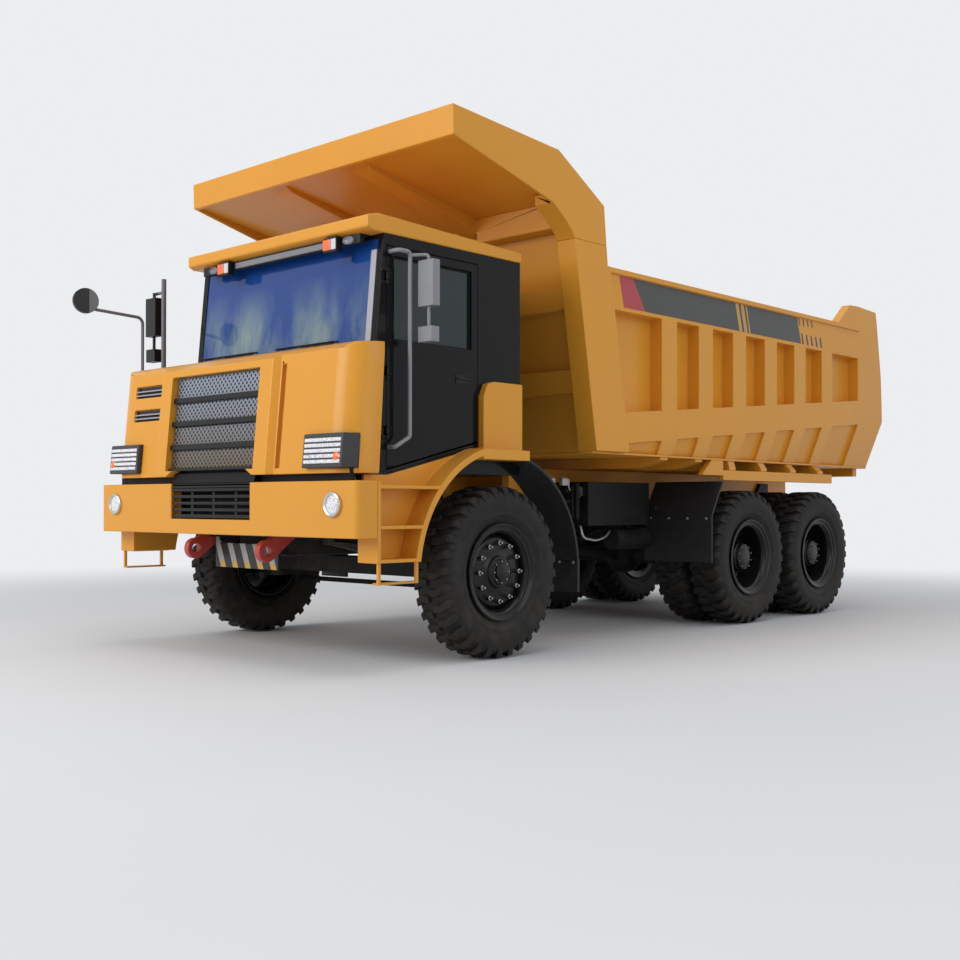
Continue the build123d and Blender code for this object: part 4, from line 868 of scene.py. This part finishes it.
def stuffed(name, low, high, rake, channels, along, limit=0.022):
    """A stuffed pad between two corners, its top moved back by a rake, with channels sewn along an axis."""
    pad = block(name, low, high)
    lean_back(pad, (low[2] + high[2]) / 2, rake)
    soften(pad, 0.022, 3)
    hold(pad)
    pad.data.remesh_voxel_size = 0.009
    bpy.ops.object.voxel_remesh()
    start = [corner.co.copy() for corner in pad.data.vertices]
    cover = pad.modifiers.new("cover", "CLOTH")
    cover.settings.use_pressure = True
    cover.settings.uniform_pressure_force = 4
    cover.settings.effector_weights.gravity = 0
    cover.point_cache.frame_start = 1
    last = cover.point_cache.frame_end = 20
    for number in range(1, last + 1):
        bpy.context.scene.frame_set(number)
    bpy.ops.object.modifier_apply(modifier="cover")
    bpy.context.scene.frame_set(1)
    for corner, was in zip(pad.data.vertices, start):
        moved = corner.co - was
        if moved.length > limit:
            corner.co = was + moved * (limit / moved.length)
    middle = (low[1] + high[1]) / 2
    channel_depth, channel_width = 0.01, 0.011
    inward = [-corner.normal for corner in pad.data.vertices]
    for corner, way in zip(pad.data.vertices, inward):
        facing_out = -way.z if along == "x" else -way.x
        if facing_out > 0.4:
            for channel in channels:
                away_from = abs(abs(corner.co.y - middle) - channel)
                corner.co += way * channel_depth * math.exp(-((away_from / channel_width) ** 2))
    finer = pad.modifiers.new("finer", "SUBSURF")
    finer.levels = finer.render_levels = 1
    bpy.ops.object.modifier_apply(modifier="finer")
    bpy.ops.object.shade_smooth()
    return painted(pad, seat_cloth)


back_rake, sewn = 0.1, (0.0, 0.115)
pads = [
    stuffed("seat_cushion", (2.415, 0.706, 1.868), (2.883, 1.174, 1.966), 0.0, sewn, "x"),
    stuffed("seat_back", (2.412, 0.716, 1.96), (2.484, 1.164, 2.54), back_rake, sewn, "z"),
    stuffed("seat_headrest", (2.296, 0.814, 2.59), (2.346, 1.066, 2.76), 0.055, (), "z", 0.014),
]
seat_gap = 1.1
for pad in list(pads):
    (other,) = again(pad, Matrix.Translation((0, -seat_gap, 0)))
    other.name = pad.name.split(".")[0] + "_right"
    pads.append(other)
for pad in pads:
    belong(pad, cab_body, "seat_cloth")
pedestal = block("seat_frames", (2.4725, 0.78, 1.516), (2.8325, 1.1, 1.84))
pick(pedestal, "+x", "-x", "+y", "-y")
bpy.ops.mesh.subdivide(number_cuts=5)
bpy.ops.mesh.select_all(action="DESELECT")
shut()
bellows_foot, bellows_height, fold_depth = 1.516, 0.324, 0.02
for corner in pedestal.data.vertices:
    fold = 0.5 + 0.5 * math.cos((corner.co.z - bellows_foot) / bellows_height * 6 * math.pi)
    swell = fold_depth * fold - fold_depth / 2
    corner.co.x += swell * (1 if corner.co.x > 2.65 else -1)
    corner.co.y += swell * (1 if corner.co.y > 0.94 else -1)
soften(pedestal, 0.006)
pan = block("seat_pan", (2.4, 0.7, 1.838), (2.895, 1.18, 1.872))
soften(inset(pan, "-z", 0.05, 0.012), 0.008)
shell = block("seat_shell", (2.394, 0.712, 1.87), (2.416, 1.168, 2.53))
lean_back(shell, 2.2, back_rake)
soften(shell, 0.008)
head_posts = soften(block("head_posts", (2.322, 0.87, 2.5), (2.334, 0.884, 2.62)), 0.005, 2)
head_posts = repeated("head_posts", head_posts, (0, 0.126, 0))
one_seat = joined("seat_frames", [pedestal, pan, shell, head_posts])
seat_frames = repeated("seat_frames", one_seat, (0, -seat_gap, 0))
belong(painted(seat_frames, moulded_black), cab_body, "black_plastic", "seats")

# -----------------------------------------------------------------------------
# The door's trim: a moulded black pull with its lever, screwed to the outer skin, the silvered faces of
# its two mirrors, and the moulded rubber seals pressed round this window and the cab's others.

door_body = nodes["door"]["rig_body"]
pull_plate = block("door_pull", (2.64, 1.4985, 2.17), (2.8, 1.5045, 2.235))
inset(pull_plate, "+y", 0.008, step=(0, -0.004, 0))
lever = soften(block("door_lever", (2.655, 1.501, 2.196), (2.785, 1.513, 2.212)), 0.004)
fitted("door_pull", [pull_plate, lever], moulded_black, door_body, "black_plastic")
mirror_faces("near_mirror_faces", "door_mirrors", ((3.2735, 1.652, 2.69), (3.277, 1.792, 3.007)),
             ((3.2685, 1.66, 2.426), (3.272, 1.782, 2.518)))


def hollowed(piece, axis, width):
    """Leaves only a frame of this width, open along an axis."""
    pick(piece, "+" + axis, "-" + axis)
    bpy.ops.mesh.inset(thickness=width, depth=0)
    bpy.ops.mesh.bridge_edge_loops()
    shut()
    return piece


def seal(name, low, high, axis, body):
    """A moulded rubber frame around a window, proud of its pane."""
    frame_piece = soften(hollowed(block(name, low, high), axis, 0.022), 0.004)
    belong(painted(frame_piece, strip_rubber), body, "black_rubber")


seal("door_seal", (2.6075, 1.444, 2.43), (3.4625, 1.48, 3.07), "y", door_body)
seal("rear_seal", (2.045, -0.31, 2.47), (2.078, 1.01, 3.09), "x", cab_body)
seal("right_seal", (2.5725, -0.77, 2.47), (3.4625, -0.736, 3.09), "y", cab_body)

# -----------------------------------------------------------------------------
# Small plumbing behind the front left guard: two galvanised posts, a cast valve and three bent steel pipes,
# screwed to the valve and to the tanks hung on the rail.

galvanised = finish("galvanised", (0.42, 0.42, 0.43), 0.4, dust=0.15, grain_size=500.0, Metallic=0.8)


def piping(corners, radius, bend):
    """A bent steel pipe along the corners."""
    bpy.context.tool_settings.mesh_select_mode = (True, False, False)
    line = point_at("pipe", corners[0])
    draw_on(corners[1:], corners[0])
    bpy.ops.mesh.select_all(action="SELECT")
    bpy.ops.mesh.bevel(offset=bend, segments=5, affect="VERTICES")
    hold(line)
    bpy.context.tool_settings.mesh_select_mode = (False, False, True)
    bpy.ops.object.convert(target="CURVE")
    line.data.bevel_depth = radius
    line.data.bevel_resolution = 3
    line.data.use_fill_caps = True
    bpy.ops.object.convert(target="MESH")
    settle(line)
    bpy.ops.object.shade_smooth_by_angle(angle=0.8)
    return line


posts = []
for along, wide in ((0.868, 0.03), (0.69, 0.045)):
    post = block("post", (along - wide, 0.86, 1.4), (along + wide, 0.9, 1.47))
    posts.append(soften(inset(post, "+z", 0.008, step=(0, 0, 0.012)), 0.006))
valve = block("valve", (0.43, 0.84, 1.29), (0.52, 0.91, 1.4))
pick(valve, "+y")
bpy.ops.mesh.inset(thickness=0.016, depth=0)
pull((0, 0.03, 0))
bpy.ops.mesh.inset(thickness=0.01, depth=-0.01)
shut()
soften(valve, 0.005)
pipes = [
    piping([(0.47, 0.875, 1.3), (0.47, 0.875, 1.19), (0.39, 0.89, 1.17), (0.38, 0.9, 1.25)], 0.01, 0.03),
    piping([(0.52, 0.88, 1.36), (0.62, 0.88, 1.36), (0.62, 0.88, 1.46)], 0.008, 0.03),
    piping([(0.42, 0.86, 1.04), (0.4, 0.88, 0.9), (0.2, 0.89, 0.87), (0.05, 0.89, 0.905), (-0.05, 0.86, 0.96)],
           0.012, 0.05),
]
fitted("plumbing", [valve, *posts, *pipes], galvanised, chassis, "bright_steel")

# -----------------------------------------------------------------------------
# Bolts: galvanised hexagon heads that clamp the rubber flaps, four on each guard ahead of the middle
# wheels and three on each flap behind the front wheels.

bare()
bpy.ops.mesh.primitive_cylinder_add(vertices=6, radius=0.014, depth=0.008, location=(0, 0, 0),
                                    rotation=(0, math.pi / 2, 0))
bolt = inset(settle(bpy.context.object), "+x", 0.003, 0.002)
bolt_places = [
    Matrix.Translation((along, way * across, height))
    for along, height, offsets in (
        (-0.6715, 1.085, (0.92, 1.14, 1.36, 1.58)), (1.5105, 0.73, (1.345, 1.495, 1.645)),
    )
    for across in offsets
    for way in (1, -1)
]
belong(painted(placed("guard_bolts", bolt, *bolt_places), galvanised), chassis, "bright_steel")

# -----------------------------------------------------------------------------
# The fuel tank's fittings: two galvanised steel straps drawn round it and bolted to its bearers, and a
# turned filler cap screwed on its top.

straps = []
for along in (-0.19, 0.85):
    strap = block("tank_strap", (along - 0.03, -1.1545, 0.7755), (along + 0.03, -0.5155, 1.3545))
    hold(strap)
    for edge in strap.data.edges:
        ends = [strap.data.vertices[number].co for number in edge.vertices]
        edge.select = abs(ends[0].x - ends[1].x) > 0.01
    for face in strap.data.polygons:
        face.select = False
    bpy.context.tool_settings.mesh_select_mode = (False, True, False)
    bpy.ops.object.mode_set(mode="EDIT")
    bpy.ops.mesh.bevel(offset=0.0745, segments=5)
    shut()
    bpy.context.tool_settings.mesh_select_mode = (False, False, True)
    straps.append(soften(hollowed(strap, "x", 0.009), 0.0015, 1))
cap = turned(
    "filler_cap",
    [(0.0, 0.034), (0.04, 0.034), (0.052, 0.028), (0.056, 0.01), (0.07, 0.006), (0.07, -0.01),
     (0.0, -0.01)],
    32, closed=False,
)
upright = Matrix.Rotation(math.pi / 2, 4, "X")
cap = placed("filler_cap", cap, Matrix.Translation((0.6, -0.85, 1.35)) @ upright)
fitted("tank_fittings", [*straps, cap], galvanised, chassis, "bright_steel")

# -----------------------------------------------------------------------------
# The tail lamps: red, orange and clear covers in a black housing, on a bracket at the outer face of each
# rail's rear end, where the bed's beams pass by when it tips.

bracket = soften(block("tail_bracket", (-3.8, 0.48, 1.01), (-3.78, 0.8, 1.09)), 0.005)
housing = block("tail_housing", (-3.824, 0.515, 0.985), (-3.798, 0.795, 1.115))
soften(inset(housing, "-x", 0.008, -0.003), 0.004, 1)
lens_red = finish("lens_red", (0.42, 0.01, 0.012), 0.15, dust=0.06, Coat_Weight=0.5)
to_right_lamp = (0, -1.28, 0)
tail_black = repeated("tail_black", joined("tail_black", [bracket, housing]), to_right_lamp)
belong(painted(tail_black, moulded_black), chassis, "black_plastic")
for name, material, offsets in (
    ("tail_red", lens_red, (0.709, -0.779)), ("tail_orange", lens_orange, (0.62, -0.69)),
    ("tail_clear", marker_white, (0.531, -0.601)),
):
    covers = []
    for across in offsets:
        cover = block(name, (-3.83, across, 1.0), (-3.818, across + 0.07, 1.1))
        covers.append(soften(inset(cover, "-x", 0.01, 0.003), 0.002, 1))
    fitted(name, covers, material, chassis, "lamp_housing")

# -----------------------------------------------------------------------------
# The hoist: a barrel, two stages and a rod of ground and chromed steel tube that slide out of one another,
# pinned to the rails at the foot and to the bed at the top.

hoist_steel = finish("hoist_steel", (0.42, 0.43, 0.45), 0.25, dust=0.1, Metallic=1.0)
for name in ("hoist_barrel", "hoist_stage_1", "hoist_stage_2", "hoist_rod"):
    painted(nodes[name], hoist_steel)

# -----------------------------------------------------------------------------
# The tyres: moulded rubber carcasses with a bead, a flexing side wall and two rows of deep rock lugs that
# run over the shoulders. One is modelled and turned about for the truck's other side.

tyre_rubber = finish(
    "tyre_rubber", (0.01, 0.01, 0.0105), 0.62, dust=0.13, shade=0.25, grain_size=120.0, grain_depth=0.0012,
    Specular_IOR_Level=0.2,
)
axle_height = 0.685
half_section = [
    (0.33, 0.12), (0.35, 0.13), (0.362, 0.136), (0.378, 0.135), (0.392, 0.143), (0.43, 0.165),
    (0.452, 0.174), (0.457, 0.178), (0.463, 0.176), (0.5, 0.185), (0.545, 0.1872), (0.585, 0.184),
    (0.618, 0.172), (0.64, 0.15), (0.652, 0.115), (0.655, 0.06),
]
inner_half = [(radius, -offset) for radius, offset in half_section]
carcass = turned("tyre_carcass", [*inner_half, (0.656, 0.0), *reversed(half_section)], 96)
lug_count = 32
lug = block("tyre_lug", (-0.022, 0.006, 0.64), (0.034, 0.075, 0.6842))
pick(lug, "+y")
pull((-0.022, 0.045, -0.001))
pull((-0.014, 0.03, -0.006))
bpy.ops.transform.resize(value=(1.12, 1, 0.86))
pull((-0.004, 0.018, -0.02))
pull((-0.002, 0.01, -0.04))
bpy.ops.transform.resize(value=(0.94, 1, 0.8))
pull((0.0, 0.002, -0.022))
shut()
soften(lug, 0.004, 1, 0.5)
pitch = 2 * math.pi / lug_count
rows = again(lug, *[Matrix.Rotation(pitch * i, 4, "Y") for i in range(1, lug_count)])
turn_about = Matrix.Rotation(math.pi, 4, "Z")
rows += again(lug, *[Matrix.Rotation(pitch * (i + 0.5), 4, "Y") @ turn_about for i in range(lug_count)])
tyre = joined("tyre", [carcass, lug, *rows])
painted(tyre, tyre_rubber)
hold(tyre)
bpy.ops.object.shade_smooth_by_angle(angle=crease)

front_axle, middle_axle, rear_axle = 2.4325, -1.4605, -2.9465
single_offset, outer_offset, inner_offset = 1.5025, 1.4525, 1.0225
wheels = []
for side, way in (("left", 1), ("right", -1)):
    turn = turn_about if way < 0 else Matrix.Identity(4)
    wheels.append(("front_" + side, "", turn, [(front_axle, way * single_offset)]))
    for name, along in (("middle_", middle_axle), ("rear_", rear_axle)):
        wheels.append((name + side, "s", turn, [(along, way * outer_offset), (along, way * inner_offset)]))
twin_twist = 0.07
for wheel, plural, turn, places in wheels:
    moves = [
        Matrix.Translation((*place, axle_height)) @ turn @ Matrix.Rotation(twin_twist * i, 4, "Y")
        for i, place in enumerate(places)
    ]
    ending = "_tyre" + plural
    pair = joined("dressed_" + wheel + ending, again(tyre, *moves))
    belong(pair, wheel + "_wheel" + plural, "tyre_rubber", wheel + ending)
bpy.data.objects.remove(tyre)

# -----------------------------------------------------------------------------
# The rims: pressed steel wells with turned-up flanges, in gloss black. The front ones have a dished disc
# on twelve studs and a hub cap with its own ring of small bolts.

rim_black = finish(
    "rim_black", (0.004, 0.004, 0.0045), 0.2, dust=0.04, shade=0.2, Specular_IOR_Level=0.2, Coat_Weight=0.12,
)
bright_nut = finish("bright_nut", (0.34, 0.34, 0.35), 0.25, dust=0.05, Metallic=1.0)


def studs(name, count, ring, size, length, face_y):
    """Nuts on studs in a ring about the axle, standing on a face."""
    bare()
    bpy.ops.mesh.primitive_cylinder_add(
        vertices=6, radius=size, depth=length * 0.6, location=(0, face_y + length * 0.3, ring),
        rotation=(math.pi / 2, 0, 0),
    )
    nut = settle(bpy.context.object)
    soften(inset(nut, "+y", size * 0.42, step=(0, length * 0.4, 0)), size * 0.09, 1, 0.5)
    others = again(nut, *[Matrix.Rotation(2 * math.pi * i / count, 4, "Y") for i in range(1, count)])
    return painted(joined(name, [nut, *others]), bright_nut)


tyre_seat = [
    (0.384, 0.154), (0.334, 0.153), (0.3296, 0.14), (0.3296, -0.14), (0.334, -0.153), (0.384, -0.154),
    (0.388, -0.162), (0.38, -0.168),
]
flange = [(0.366, 0.16), (0.376, 0.168), (0.386, 0.168), (0.388, 0.16), *tyre_seat]
front_rim = turned(
    "front_rim",
    [
        (0.0, 0.17), (0.052, 0.17), (0.068, 0.164), (0.072, 0.15), (0.098, 0.148), (0.104, 0.138),
        (0.124, 0.134), (0.132, 0.118), (0.165, 0.104), (0.2, 0.1), (0.262, 0.1), (0.276, 0.094),
        (0.296, 0.07), (0.3, 0.062), (0.303, 0.1), (0.314, 0.128), (0.33, 0.146), (0.352, 0.156),
        *flange,
        (0.33, -0.15), (0.302, -0.135), (0.3, 0.04), (0.27, 0.072), (0.2, 0.078), (0.126, 0.08),
        (0.124, -0.108), (0.0603, -0.11), (0.0603, 0.1), (0.0, 0.1),
    ],
    64, closed=False,
)
painted(front_rim, rim_black)
front_nuts = studs("front_nuts", 12, 0.232, 0.021, 0.064, 0.099)
cap_nuts = studs("cap_nuts", 8, 0.085, 0.008, 0.018, 0.147)
front_wheel_rim = joined("front_wheel_rim", [front_rim, front_nuts, cap_nuts])

# The twin rims: two wells held by their discs on one hub, with its reduction case inside the outer well.

second_seat = [(radius, offset - outer_offset + inner_offset) for radius, offset in tyre_seat]
twin_rim = turned(
    "twin_rim",
    [
        (0.0, 0.104), (0.06, 0.104), (0.11, 0.098), (0.13, 0.086), (0.138, 0.06), (0.15, 0.05),
        (0.152, -0.03), (0.17, -0.04), (0.176, -0.11), (0.2, -0.128), (0.268, -0.13), (0.29, -0.122),
        (0.3, -0.1), (0.301, 0.09), (0.306, 0.118), (0.322, 0.14), (0.35, 0.156),
        *flange,
        (0.33, -0.166), (0.328, -0.262), (0.38, -0.262), (0.388, -0.268), *second_seat, (0.33, -0.58),
        (0.302, -0.56), (0.3, -0.3), (0.29, -0.28), (0.15, -0.28), (0.15, -0.602),
        (0.0603, -0.602), (0.0603, 0.03), (0.0, 0.03),
    ],
    64, closed=False,
)
painted(twin_rim, rim_black)
twin_nuts = studs("twin_nuts", 12, 0.234, 0.019, 0.062, -0.131)
case_nuts = studs("case_nuts", 10, 0.118, 0.007, 0.014, 0.094)
twin_wheel_rim = joined("twin_wheel_rim", [twin_rim, twin_nuts, case_nuts])

for wheel, plural, turn, places in wheels:
    ending = "_rim" + plural
    pattern = twin_wheel_rim if plural else front_wheel_rim
    (rim,) = again(pattern, Matrix.Translation((*places[0], axle_height)) @ turn)
    rim.name = "dressed_" + wheel + ending
    belong(rim, wheel + "_wheel" + plural, "rim_paint", wheel + ending)
bpy.data.objects.remove(front_wheel_rim)
bpy.data.objects.remove(twin_wheel_rim)
